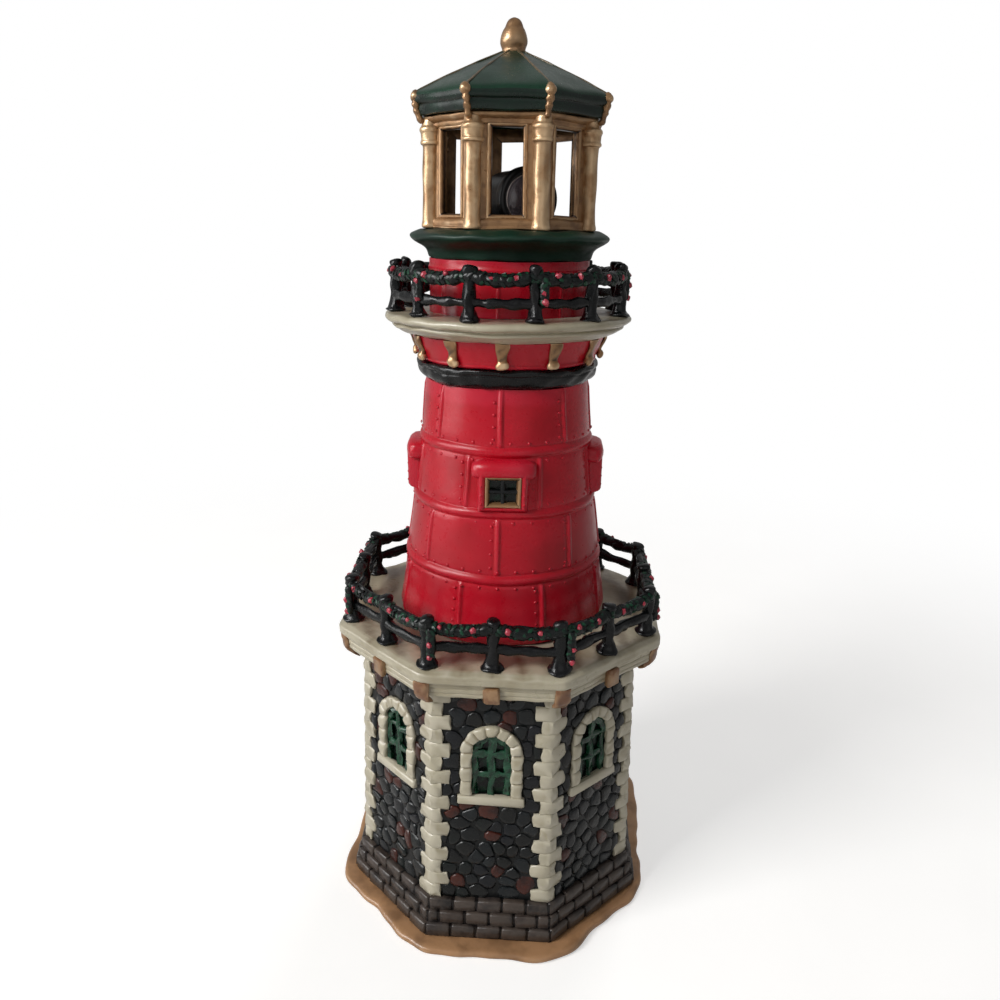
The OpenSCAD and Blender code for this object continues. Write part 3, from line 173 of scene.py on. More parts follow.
class Tree:
    """The node tree of a material or world, with one method that adds any node."""

    def __init__(self, owner: bpy.types.Material | bpy.types.World) -> None:
        """Empties the owner's tree.

        Args:
            owner: The material or world.
        """
        owner.use_nodes = True
        self.owner = owner
        self.graph = owner.node_tree
        self.graph.nodes.clear()

    def node(self, kind: str, settings: dict[str, Any] | None = None,
             values: dict[Any, Any] | None = None) -> bpy.types.Node:
        """Adds one node.

        Args:
            kind: The node's type without its ShaderNode prefix.
            settings: Properties set first; "stops" fills a colour ramp.
            values: Socket name or index to a Sock, a number or a colour.

        Returns:
            The node.
        """
        node = self.graph.nodes.new("ShaderNode" + kind)
        for key, value in (settings or {}).items():
            if key == "stops":
                ramp = node.color_ramp
                while len(ramp.elements) < len(value):
                    ramp.elements.new(1.0)
                for element, (place, colour) in zip(ramp.elements, value):
                    element.position = place
                    element.color = colour
                ramp.interpolation = "CONSTANT"
            else:
                setattr(node, key, value)
        for key, value in (values or {}).items():
            if isinstance(value, Sock):
                self.graph.links.new(value.socket, node.inputs[key])
            else:
                node.inputs[key].default_value = value
        return node

    def out(self, node: bpy.types.Node, key: int | str = 0) -> Sock:
        """A node's output as a Sock."""
        return Sock(self, node.outputs[key])

    def mix(self, factor: Any, first: Any, second: Any) -> Sock:
        """A colour between first (factor 0) and second (factor 1)."""
        node = self.node("Mix", {"data_type": "RGBA"}, {0: factor, 6: first, 7: second})
        return self.out(node, 2)

    def place(self) -> Sock:
        """Object coordinates, in metres."""
        return self.out(self.node("TexCoord"), "Object")

    def noise(self, size: float, detail: float = 2.0,
              stretch: Sequence[float] = (1, 1, 1)) -> Sock:
        """Noise of place.

        Args:
            size: Width of one patch, in millimetres.
            detail: How many finer layers it has.
            stretch: Scale of the pattern along X, Y and Z.

        Returns:
            A value of about 0.3 to 0.7.
        """
        vector = self.place()
        if tuple(stretch) != (1, 1, 1):
            vector = self.out(self.node("Mapping", {}, {"Vector": vector, "Scale": stretch}))
        node = self.node("TexNoise", {}, {"Vector": vector, "Scale": 1 / (size * MM),
                                          "Detail": detail, "Roughness": 0.55})
        return self.out(node, "Fac")

    def attribute(self, name: str) -> Sock:
        """A number that is stored on the points of the mesh."""
        node = self.node("Attribute", {"attribute_type": "GEOMETRY", "attribute_name": name})
        return self.out(node, "Fac")

    def finish(self, shader: Sock) -> Any:
        """Links the shader to the output.

        Args:
            shader: What the surface or the surroundings show.

        Returns:
            The material or world.
        """
        kind = "OutputWorld" if isinstance(self.owner, bpy.types.World) else "OutputMaterial"
        self.node(kind, {}, {"Surface": shader})
        return self.owner


@dataclass(frozen=True)
class Finish:
    """A brushed glaze or paint: two tones in patches, a wash and painted shade in the hollows, and
    edges lightened by wear and painted highlight.

    The colour is body, moved towards patch where slow noise is high, towards wash_and_shade where
    the relief attribute says hollow (partly a real wash, partly painted shade), and towards edge
    where it says ridge (partly wear, partly painted highlight). tones replaces body by the point's
    own tone attribute, as steps of a ramp. Colours are as they look on screen.
    """

    slot: Slot
    body: Screen
    patch: Screen
    # Colour in the hollows: partly a real wash, partly painted shade.
    wash_and_shade: Screen
    # Colour on ridges: partly wear, partly painted highlight.
    edge: Screen | None = None
    tones: tuple[Screen, ...] = ()
    roughness: float = 0.3
    coat: float = 0.3
    gloss: float = 0.5
    metal: float = 0.0
    patch_mm: float = 9.0
    patch_gain: float = 0.7
    wash_and_shade_gain: float = 0.9
    wear_and_highlight_gain: float = 0.5
    grain_mm: float = 1.1
    bump_mm: float = 0.10
    glass: float = 0.0
    suffix: str = ""
    stretch: tuple[float, float, float] = (1.0, 1.0, 1.0)

    def make(self) -> bpy.types.Material:
        """Builds the material's nodes.

        Returns:
            The finished material.
        """
        tree = Tree(bpy.data.materials.new(self.slot.value + self.suffix))
        slow = tree.noise(self.patch_mm, 3.0, self.stretch)
        fine = tree.noise(self.grain_mm, 3.0)
        body: Any = srgb(*self.body)
        if self.tones:
            count = len(self.tones)
            stops = [(i / count, srgb(*tone)) for i, tone in enumerate(self.tones)]
            ramp = tree.node("ValToRGB", {"stops": stops}, {"Fac": tree.attribute("tone")})
            body = tree.out(ramp, "Color")
        colour = tree.mix(slow.ramp(0.42, 0.66) * self.patch_gain, body, srgb(*self.patch))
        relief = tree.attribute("relief")
        if self.edge is not None:
            # Ridges lean towards edge: partly wear, partly painted highlight.
            ridge = (relief * -1.0).ramp(0.05, 0.7) * self.wear_and_highlight_gain
            colour = tree.mix(ridge * slow.ramp(0.3, 0.6), colour, srgb(*self.edge))
        # Hollows lean towards the wash colour: partly a real wash, partly painted shade.
        hollow = (relief + (fine - 0.5) * 0.35).ramp(0.06, 0.85) * self.wash_and_shade_gain
        colour = tree.mix(hollow, colour, srgb(*self.wash_and_shade))
        rough = (fine - 0.5) * 0.22 + (slow - 0.5) * 0.18 + self.roughness
        height = fine * 0.55 + slow * 1.4
        bump = tree.out(tree.node("Bump", {}, {"Height": height, "Strength": 1.0,
                                               "Distance": self.bump_mm * MM}))
        values = {"Base Color": colour, "Roughness": rough.most(0.04), "Normal": bump,
                  "Metallic": self.metal, "Coat Weight": self.coat, "Coat Roughness": 0.2,
                  "Specular IOR Level": self.gloss, "Transmission Weight": self.glass}
        shader = tree.node("BsdfPrincipled", {}, values)
        return tree.finish(tree.out(shader))


FINISHES: dict[str, Finish] = {
    "sand": Finish(
        Slot.SAND, (172, 130, 92), (130, 96, 66), (64, 44, 32), (210, 174, 134), roughness=0.34,
        coat=0.2, gloss=0.4, patch_mm=12, bump_mm=0.25, grain_mm=1.8, patch_gain=0.9),
    "brick": Finish(
        Slot.BRICK, (51, 43, 39), (28, 23, 22), (10, 8, 8), (90, 79, 71), tones=((53, 45, 41),
        (36, 31, 29), (64, 55, 49), (31, 27, 26), (47, 38, 33), (43, 38, 37)), roughness=0.34,
        coat=0.2, gloss=0.28, patch_mm=5, patch_gain=0.6, bump_mm=0.2),
    "mortar": Finish(
        Slot.BRICK, (22, 18, 17), (16, 13, 13), (9, 8, 8), roughness=0.45, coat=0.05, gloss=0.28,
        suffix="_mortar"),
    "stone": Finish(
        Slot.STONE, (21, 24, 25), (14, 15, 16), (7, 7, 8), tones=((20, 24, 26), (16, 19, 20),
        (17, 18, 17), (15, 20, 19), (25, 29, 31), (18, 20, 24), (68, 32, 24), (17, 20, 20)),
        roughness=0.24, coat=0.18, gloss=0.22, patch_mm=4, patch_gain=0.6, bump_mm=0.18,
        grain_mm=0.9),
    "grout": Finish(
        Slot.STONE, (13, 15, 15), (10, 11, 12), (6, 6, 7), roughness=0.38, coat=0.05, gloss=0.25,
        bump_mm=0.2, suffix="_grout"),
    "cream": Finish(
        Slot.CREAM, (178, 170, 147), (151, 140, 114), (100, 83, 62), (212, 206, 188),
        roughness=0.32, coat=0.3, patch_mm=10, bump_mm=0.12, grain_mm=1.4, wash_and_shade_gain=0.75),
    "bronze": Finish(
        Slot.BRONZE, (120, 79, 50), (82, 52, 34), (48, 31, 22), (172, 137, 100), roughness=0.38,
        coat=0.2, metal=0.1, patch_mm=3, wear_and_highlight_gain=0.8),
    "red": Finish(
        Slot.RED, (182, 13, 34), (156, 8, 24), (90, 4, 14), (206, 44, 68), roughness=0.3,
        coat=0.12, gloss=0.25, patch_mm=22, bump_mm=0.07, grain_mm=1.8, wash_and_shade_gain=0.8,
        wear_and_highlight_gain=0.4),
    "black": Finish(
        Slot.BLACK, (12, 12, 13), (9, 10, 11), (5, 5, 5), roughness=0.26, coat=0.08, gloss=0.22,
        bump_mm=0.14),
    "green": Finish(
        Slot.GREEN, (15, 50, 34), (10, 36, 26), (5, 16, 12), (30, 72, 52), roughness=0.3, coat=0.1,
        gloss=0.28, patch_mm=16, bump_mm=0.07, grain_mm=1.6),
    "sash": Finish(
        Slot.SASH, (12, 54, 34), (7, 29, 20), (5, 16, 12), (44, 98, 70), roughness=0.26, coat=0.2,
        gloss=0.35, patch_mm=2.5, bump_mm=0.2),
    "collar": Finish(
        Slot.GREEN, (14, 44, 31), (10, 32, 24), (5, 16, 12), (32, 72, 54), roughness=0.42,
        coat=0.0, gloss=0.28, patch_mm=16, bump_mm=0.07, suffix="_collar"),
    "pane": Finish(
        Slot.PANE, (8, 11, 10), (12, 40, 28), (5, 7, 7), roughness=0.28, coat=0.1, gloss=0.22,
        patch_mm=2.6, patch_gain=0.9, bump_mm=0.4),
    "gold": Finish(
        Slot.GOLD, (151, 114, 77), (102, 72, 46), (36, 23, 15), (230, 198, 156), roughness=0.34,
        coat=0.15, metal=0.5, patch_mm=4, bump_mm=0.12, wash_and_shade_gain=1.0, wear_and_highlight_gain=0.8),
    "ridge": Finish(
        Slot.GOLD, (104, 86, 62), (48, 60, 46), (34, 36, 28), roughness=0.36, coat=0.2, metal=0.2,
        patch_mm=3, suffix="_ridge"),
    "rail": Finish(
        Slot.RAIL, (11, 11, 13), (9, 14, 14), (5, 5, 5), (30, 32, 34), roughness=0.26, coat=0.08,
        gloss=0.22, bump_mm=0.16, wear_and_highlight_gain=0.3),
    "garland": Finish(
        Slot.GARLAND, (14, 50, 34), (10, 13, 13), (6, 7, 7), tones=((14, 46, 33), (11, 14, 14),
        (19, 62, 42), (11, 23, 20)), roughness=0.32, coat=0.08, gloss=0.22, patch_mm=6,
        patch_gain=0.9, bump_mm=0.12),
    "berry": Finish(
        Slot.BERRY, (168, 40, 60), (128, 24, 40), (50, 14, 20), (196, 84, 98), roughness=0.36,
        coat=0.15, gloss=0.4, patch_mm=1.5, patch_gain=0.9, wash_and_shade_gain=0.8),
    "dark_plastic": Finish(
        Slot.DARK_PLASTIC, (18, 18, 19), (23, 23, 25), (9, 9, 10), roughness=0.36, coat=0.1,
        gloss=0.3, bump_mm=0.03),
    "pale_plastic": Finish(
        Slot.PALE_PLASTIC, (222, 220, 212), (208, 205, 196), (150, 146, 138), roughness=0.38,
        coat=0.1, bump_mm=0.03),
    "block": Finish(
        Slot.BLOCK, (128, 104, 86), (108, 86, 70), (60, 46, 38), roughness=0.5, coat=0.0,
        bump_mm=0.05),
    "wire": Finish(
        Slot.WIRE, (168, 34, 34), (140, 24, 26), (80, 12, 14), roughness=0.42, coat=0.1,
        bump_mm=0.05),
    "silver": Finish(
        Slot.SILVER, (186, 176, 172), (140, 130, 128), (70, 64, 62), roughness=0.2, coat=0.0,
        metal=0.8, bump_mm=0.03),
    "lens": Finish(
        Slot.LENS, (172, 160, 166), (150, 136, 144), (120, 108, 114), roughness=0.06, coat=0.3,
        glass=0.65, bump_mm=0.01),
    "bulb": Finish(
        Slot.BULB, (250, 236, 206), (244, 226, 190), (180, 150, 110), roughness=0.08, coat=0.2,
        glass=0.5, bump_mm=0.01),
    "steel": Finish(
        Slot.STEEL, (190, 190, 194), (166, 166, 170), (100, 100, 104), roughness=0.3, coat=0.0,
        metal=1.0, bump_mm=0.02, stretch=(1, 1, 8)),
    "brass": Finish(
        Slot.BRASS, (212, 174, 104), (186, 146, 82), (120, 88, 48), roughness=0.28, coat=0.0,
        metal=1.0, bump_mm=0.02),
}
NODE_FINISH: dict[str, str] = {
    "brick_plinth": "mortar", "stone_walls": "grout", "window_panes": "pane",
    "square_panes": "pane", "beacon_reflector": "silver", "beacon_lens": "lens",
    "beacon_bulb": "bulb", "house_lamp": "bulb",
}


# Surfaces as whole arrays


@dataclass
class Shape:
    """Closed surfaces: points in millimetres, quads and triangles, and two numbers a point.

    tone picks a colour from a finish's tones, and dip adds to the hollows that take the wash and
    painted shade; below zero it leans towards the edge colour of wear and painted highlight.
    """

    points: Array
    quads: Array
    tris: Array
    tone: Array
    dip: Array

    @classmethod
    def rings(cls, stack: Array, wrap: bool = False, tone: Any = 0.0, dip: Any = 0.0) -> "Shape":
        """Skins stacks of rings. A surface is a function of two parameters, ring and side.

        Args:
            stack: Points as (copies, rings, sides, 3), or (rings, sides, 3) for one.
            wrap: True joins the last ring to the first; False closes both ends with a pole at
                the ring's mean.
            tone: Number, or array that fits (copies, rings, sides).
            dip: The same, for the hollows.

        Returns:
            The closed shape, with its faces outwards.
        """
        stack = stack.reshape((-1,) + stack.shape[-3:])
        copies, rings, sides = stack.shape[:3]
        size = rings * sides
        i = np.arange(rings if wrap else rings - 1)[:, None]
        j = np.arange(sides)[None]
        k, up = (j + 1) % sides, (i + 1) % rings
        quads = np.stack([i * sides + j, i * sides + k, up * sides + k, up * sides + j], -1)
        quads = quads.reshape(-1, 4)
        full = (copies, rings, sides)
        values = [np.broadcast_to(np.asarray(v, float), full) for v in (tone, dip)]
        points = stack.reshape(copies, size, 3)
        flat = [v.reshape(copies, size) for v in values]
        tris = np.zeros((0, 3), int)
        if not wrap:
            ends = [stack[:, 0].mean(1), stack[:, -1].mean(1)]
            points = np.concatenate([points, np.stack(ends, 1)], 1)
            flat = [np.concatenate([f, v[:, 0, :1], v[:, -1, :1]], 1)
                    for f, v in zip(flat, values)]
            side, after, last = j[0], k[0], (rings - 1) * sides
            tris = np.concatenate([
                np.stack([np.full(sides, size), after, side], -1),
                np.stack([np.full(sides, size + 1), last + side, last + after], -1)])
        count = points.shape[1]
        first = points[0]
        fan = np.concatenate([quads[:, [0, 1, 2]], quads[:, [0, 2, 3]], tris])
        a, b, c = (first[fan[:, n]] for n in range(3))
        if np.einsum("ij,ij->i", a - first.mean(0), np.cross(b - a, c - a)).sum() < 0:
            quads, tris = quads[:, ::-1], tris[:, ::-1]
        shift = (np.arange(copies) * count)[:, None, None]
        return cls(points.reshape(-1, 3), (quads + shift).reshape(-1, 4),
                   (tris + shift).reshape(-1, 3), flat[0].ravel(), flat[1].ravel())

    @classmethod
    def join(cls, shapes: Sequence["Shape"]) -> "Shape":
        """All the shapes as one.

        Args:
            shapes: The shapes.

        Returns:
            One shape of all their faces.
        """
        starts = np.cumsum([0] + [len(s.points) for s in shapes[:-1]])
        return cls(np.concatenate([s.points for s in shapes]),
                   np.concatenate([s.quads + n for s, n in zip(shapes, starts)]),
                   np.concatenate([s.tris + n for s, n in zip(shapes, starts)]),
                   np.concatenate([s.tone for s in shapes]),
                   np.concatenate([s.dip for s in shapes]))

    def lumpy(self, size: float, amount: float, seed: int = 0) -> "Shape":
        """The shape with the soft unevenness of a hand-finished cast.

        Each axis moves by amount times the product of two sine waves of place, about size
        long, so the surface stays closed.

        Args:
            size: Length of the waves.
            amount: Largest shift.
            seed: Picks the waves.

        Returns:
            The shape itself.
        """
        rng = np.random.default_rng(seed)
        waves = rng.normal(size=(3, 2, 3)) * (2.2 / size)
        phases = rng.uniform(0, 2 * math.pi, (3, 2))
        angle = np.einsum("nk,abk->nab", self.points, waves) + phases
        self.points = self.points + amount * np.prod(np.sin(angle), axis=-1)
        return self

    def relief(self, reach: float) -> Array:
        """How hollow each point lies: 1 in a groove, -1 on a sharp edge.

        Points are averaged with their neighbours four times, and the move along the normal is
        divided by reach.

        Args:
            reach: Move in millimetres that counts as 1.

        Returns:
            One number a point.
        """
        q, t, p = self.quads, self.tris, self.points
        edges = np.concatenate([q[:, [0, 1]], q[:, [1, 2]], q[:, [2, 3]], q[:, [3, 0]],
                                t[:, [0, 1]], t[:, [1, 2]], t[:, [2, 0]]])
        edges = np.concatenate([edges, edges[:, ::-1]])
        count = np.bincount(edges[:, 0], minlength=len(p))[:, None]
        smooth = p
        for _ in range(4):
            near = smooth[edges[:, 1]]
            total = np.stack([np.bincount(edges[:, 0], near[:, n], len(p)) for n in range(3)], 1)
            smooth = 0.5 * smooth + 0.5 * total / count
        fan = np.concatenate([q[:, [0, 1, 2]], q[:, [0, 2, 3]], t])
        face = np.cross(p[fan[:, 1]] - p[fan[:, 0]], p[fan[:, 2]] - p[fan[:, 0]])
        normal = sum(np.stack([np.bincount(fan[:, k], face[:, n], len(p)) for n in range(3)], 1)
                     for k in range(3))
        normal /= np.maximum(np.linalg.norm(normal, axis=1, keepdims=True), 1e-12)
        return np.clip(np.einsum("ij,ij->i", smooth - p, normal) / reach, -1, 1)


def soften(outline: Any, rounds: int = 2, closed: bool = False) -> Array:
    """Cuts the corners of an outline: each edge keeps its points at a quarter and three
    quarters, and the rest is dropped, so the outline turns into a smooth curve.

    Args:
        outline: Points, any number of columns.
        rounds: How many times the corners are cut.
        closed: Whether the last point joins the first.

    Returns:
        The softer outline. An open one keeps its two ends.
    """
    line = np.asarray(outline, float)
    for _ in range(rounds):
        after = np.roll(line, -1, 0) if closed else line[1:]
        before = line if closed else line[:-1]
        cut = np.stack([0.75 * before + 0.25 * after, 0.25 * before + 0.75 * after], 1)
        cut = cut.reshape(-1, line.shape[1])
        line = cut if closed else np.concatenate([line[:1], cut, line[-1:]])
    return line


def around(count: int, shift: Any = 0.0) -> Array:
    """Angles of count even steps round the axis, each place moved by shift of a step."""
    return (np.arange(count) + shift) * 2 * math.pi / count


def wall_angles(turn: float = 0.0) -> Array:
    """Angles of the eight walls, the front one first, or of what stands turn past each."""
    return np.arange(SIDES) * TURN - math.pi / 2 + turn


def polar(radius: Array, a: Array, level: Array) -> Array:
    """Points at a radius, an angle and a height: (r cos a, r sin a, z)."""
    return np.stack([radius * np.cos(a), radius * np.sin(a), level + 0 * a], -1)


def lathe(profile: Array, steps: int = STATIONS) -> Array:
    """Rings of a profile of (radius, height) turned about Z."""
    return polar(profile[:, :1], around(steps), profile[:, 1:2])


def turned_piece(rows: Any, foot: float, rounds: int = 2, steps: int = STATIONS) -> Shape:
    """A closed profile, softened and turned about Z.

    Args:
        rows: Rows of radius and height over foot.
        foot: Level of the piece's foot.
        rounds: How many times its corners are cut.
        steps: Points round the axis.

    Returns:
        The closed shape.
    """
    return Shape.rings(lathe(soften(rows, rounds, True) + np.array([0, foot]), steps), wrap=True)


def octagon_radius(a: Array, corner: Any, power: float = 80.0) -> Array:
    """Distance from the axis to an eight-sided outline at angle a, with rounded corners.

    It is the flats' distance over the power mean of the positive cosines to the eight faces,
    which is the largest cosine along a flat and eases over at a corner.

    Args:
        a: Angles in radians.
        corner: Radius of the sharp corners.
        power: Higher is sharper.

    Returns:
        The radii.
    """
    faces = np.arange(SIDES) * TURN
    cosines = np.clip(np.cos(a[..., None] - faces), 0, 1)
    return corner * FLAT * (cosines ** power).sum(-1) ** (-1 / power)


def octagon_angles(per_side: int = 12) -> Array:
    """Angles round an octagon, closer together towards its corners.

    Args:
        per_side: Points along each side.

    Returns:
        Angles in radians.
    """
    t = np.sin(np.linspace(-1, 1, per_side, endpoint=False) * math.pi / 2)
    side = np.arctan(t * math.tan(TURN / 2))
    return (side[None] + (np.arange(SIDES) * TURN)[:, None]).ravel()


def octagon_rings(profile: Array, per_side: int = 12, power: float = 80.0) -> Array:
    """A profile carried round an octagon.

    Args:
        profile: Rows of corner radius, height and roundness, from 0 for the octagon to 1 for a
            circle of that radius.
        per_side: Points along each side.
        power: Sharpness of the corners.

    Returns:
        Rings of points.
    """
    a = octagon_angles(per_side)
    r, z, w = (profile[:, n:n + 1] for n in range(3))
    radius = (1 - w) * octagon_radius(a, 1.0, power) * r + w * r
    return polar(radius, a, z)


def sweep(path: Array, side: Array, out: Array, section: Array) -> Array:
    """A section carried along a path: path + side times its first column + out times its second.

    Args:
        path: Points, (..., n, 3).
        side: Direction of the section's first column at each point, or one for all.
        out: Direction of its second column.
        section: (m, 2), or (n, m, 2) where it changes along the path.

    Returns:
        Points, (..., n, m, 3).
    """
    return (path[..., None, :] + side[..., None, :] * section[..., 0:1]
            + out[..., None, :] * section[..., 1:2])


def oval(width: float, depth: float, count: int = 8, square: float = 0.75) -> Array:
    """A closed section between an ellipse (square 1) and a box (square near 0).

    Args:
        width: Half its width.
        depth: Half its depth.
        count: Number of points.
        square: Power of the sine and cosine.

    Returns:
        Rows of two numbers.
    """
    a = around(count, 0.5)
    c, s = np.cos(a), np.sin(a)
    return np.stack([width * np.sign(c) * np.abs(c) ** square,
                     depth * np.sign(s) * np.abs(s) ** square], -1)


def frames(normals: Array) -> tuple[Array, Array]:
    """Level tangent and outward direction for each angle round the axis.

    Args:
        normals: Angles in radians.

    Returns:
        Tangents (anticlockwise) and outward directions.
    """
    zero = np.zeros_like(normals)
    return (np.stack([-np.sin(normals), np.cos(normals), zero], -1),
            np.stack([np.cos(normals), np.sin(normals), zero], -1))


def face_at(angle: Any) -> Array:
    """Outward directions at angles round the axis."""
    return frames(np.asarray(angle, float))[1]


def stations(extra: Sequence[Array]) -> Array:
    """Angles round a drum: even ones and the extra ones, sorted, each once, to 0.001."""
    return np.unique(np.round(np.concatenate([*extra, around(STATIONS)]) % (2 * math.pi), 3))


def on_faces(rings: Array, angles: Array, lift: float) -> Array:
    """Copies rings of (x, out, z) to faces round the axis: x runs along a face and out away
    from it.

    Args:
        rings: Points on one face, with out measured from the axis.
        angles: Angle of each face.
        lift: Level that z is measured from.

    Returns:
        The copies, with one more axis in front.
    """
    shape = (len(angles),) + (1,) * (rings.ndim - 1) + (3,)
    side, face = (v.reshape(shape) for v in frames(angles))
    x, y, z = (rings[None, ..., n:n + 1] for n in range(3))
    return x * side + y * face + (z + lift) * UP


def pillows(centre: Array, along: Array, out: Array, up: Array, half: Array, bevel: float,
            sides: int = 8) -> Array:
    """Rounded boxes: each point is a corner of the inner box plus bevel times a direction.

    Args:
        centre: (n, 3) centres.
        along, out, up: (n, 3) axes.
        half: (n, 3) half sizes along the three axes.
        bevel: Radius of the edges.
        sides: Points round the upright axis, a multiple of 4.

    Returns:
        Rings, (n, 4, sides, 3), stacked along up.
    """
    a = around(sides, 0.5)
    b = np.radians([-65, -22.5, 22.5, 65])[:, None]
    ball = np.stack([np.cos(b) * np.cos(a), np.cos(b) * np.sin(a), np.sin(b) + 0 * a], -1)
    inner = np.maximum(half - bevel, 0.02)[:, None, None]
    local = np.sign(ball) * inner + bevel * ball
    return (centre[:, None, None] + local[..., 0:1] * along[:, None, None]
            + local[..., 1:2] * out[:, None, None] + local[..., 2:3] * up[:, None, None])


def domes(centre: Array, normal: Array, radius: float, height: float, sides: int = 7) -> Array:
    """Small rivet heads: two rings and a pole on each centre, with the foot sunk in.

    Args:
        centre: (n, 3) places on the surface.
        normal: (n, 3) level directions outwards.
        radius: Radius of the head.
        height: Height of the head.
        sides: Points in a ring.

    Returns:
        Rings, (n, 3, sides, 3).
    """
    u = np.cross(UP, normal)
    v = np.cross(normal, u)
    a = around(sides)
    radii = np.array([1.15, 0.95, 0.5])[:, None] * radius
    lift = np.array([-0.3, 0.45, 1.0])[:, None] * height
    c, s = radii * np.cos(a), radii * np.sin(a)
    return (centre[:, None, None] + c[None, ..., None] * u[:, None, None]
            + s[None, ..., None] * v[:, None, None]
            + (lift + 0 * a)[None, ..., None] * normal[:, None, None])


def straps(path: Array, wide: Array, thick: Array, angles: Array, base: float,
           square: float = 0.8) -> Array:
    """Bands that run down a face: an oval section carried along a path of (radius, height).

    Args:
        path: Rows of radius and height above base.
        wide: Half width at each row.
        thick: Half thickness at each row.
        angles: Angle round the axis of each band, in radians.
        base: Level that the heights are measured from.
        square: How round the section is, as in oval.

    Returns:
        Rings, (bands, rows, 12, 3).
    """
    step = np.gradient(path, axis=0)
    step /= np.linalg.norm(step, axis=1, keepdims=True)
    side, out = frames(angles)
    centre = out[:, None] * path[:, :1] + UP * (path[:, 1:] + base)
    normal = out[:, None] * -step[:, 1:] + UP * step[:, :1]
    section = oval(1, 1, 12, square)[None] * np.stack([wide, thick], -1)[:, None]
    return sweep(centre, side[:, None], normal, section)


def window_ring(half_in: tuple[float, float], profile: Array, near: float = 0.5) -> Array:
    """A rectangular frame: a closed profile carried round a rectangle with mitred corners.

    Args:
        half_in: Half width and half height of the opening.
        profile: Closed rows of reach beyond the opening across, the same up, and out.
        near: Distance from each corner of its two neighbouring stations.

    Returns:
        Rings of (x, out, z), as (profile, stations, 3).
    """
    signs = np.array([(-1, -1), (1, -1), (1, 1), (-1, 1)], float)
    step = np.array([(0, 1), (1, 0), (-1, 0), (0, 1), (0, -1), (-1, 0), (1, 0), (0, -1)], float)
    corner = np.repeat(signs, 3, 0)
    shift = np.zeros((12, 2))
    shift[0::3] = step[0::2] * near
    shift[2::3] = step[1::2] * near
    x = corner[:, 0] * (half_in[0] + profile[:, :1]) + shift[:, 0]
    z = corner[:, 1] * (half_in[1] + profile[:, 1:2]) + shift[:, 1]
    return np.stack([x, profile[:, 2:3] + 0 * x, z], -1)


MATERIALS: dict[str, bpy.types.Material] = {}


def material(name: str) -> bpy.types.Material:
    """The material of a finish, made once.

    Args:
        name: Key of FINISHES.

    Returns:
        The material.
    """
    if name not in MATERIALS:
        MATERIALS[name] = FINISHES[name].make()
    return MATERIALS[name]


def add_piece(name: str, shape: Shape, finish: str, replaces: Sequence[str] = (),
              body: Body = Body.ROOT, reach: float = 0.25) -> bpy.types.Object:
    """Turns a shape into a finished object that rides on a body.

    Args:
        name: Name of the object.
        shape: Its surface, in millimetres.
        finish: Key of FINISHES.
        replaces: CAD nodes that it stands for.
        body: The body that it moves with.
        reach: Depth of a hollow that takes the whole wash and painted shade.

    Returns:
        The object.
    """
    mesh = bpy.data.meshes.new(name)
    mesh.vertices.add(len(shape.points))
    mesh.vertices.foreach_set("co", (shape.points * MM).astype(np.float32).ravel())
    loops = np.concatenate([shape.quads.ravel(), shape.tris.ravel()]).astype(np.int32)
    sizes = np.concatenate([np.full(len(shape.quads), 4), np.full(len(shape.tris), 3)])
    mesh.loops.add(len(loops))
    mesh.loops.foreach_set("vertex_index", loops)
    mesh.polygons.add(len(sizes))
    mesh.polygons.foreach_set("loop_start", (np.cumsum(sizes) - sizes).astype(np.int32))
    mesh.update(calc_edges=True)
    mesh.validate()
    mesh.set_sharp_from_angle(angle=math.radians(50))
    # Hollows and dip above zero take the wash and painted shade; ridges take wear and painted
    # highlight.
    relief = np.clip(shape.relief(reach) + shape.dip, -1, 1)
    for label, values in (("tone", shape.tone), ("relief", relief)):
        layer = mesh.attributes.new(label, "FLOAT", "POINT")
        layer.data.foreach_set("value", values.astype(np.float32))
    mesh.materials.append(material(finish))
    obj = bpy.data.objects.new(name, mesh)
    bpy.context.scene.collection.objects.link(obj)
    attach(obj, body.value)
    if replaces:
        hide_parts(*replaces)
    log.info("%-18s %6d faces, %s on %s", name, len(sizes), finish, body.value)
    return obj


# The sub-assemblies


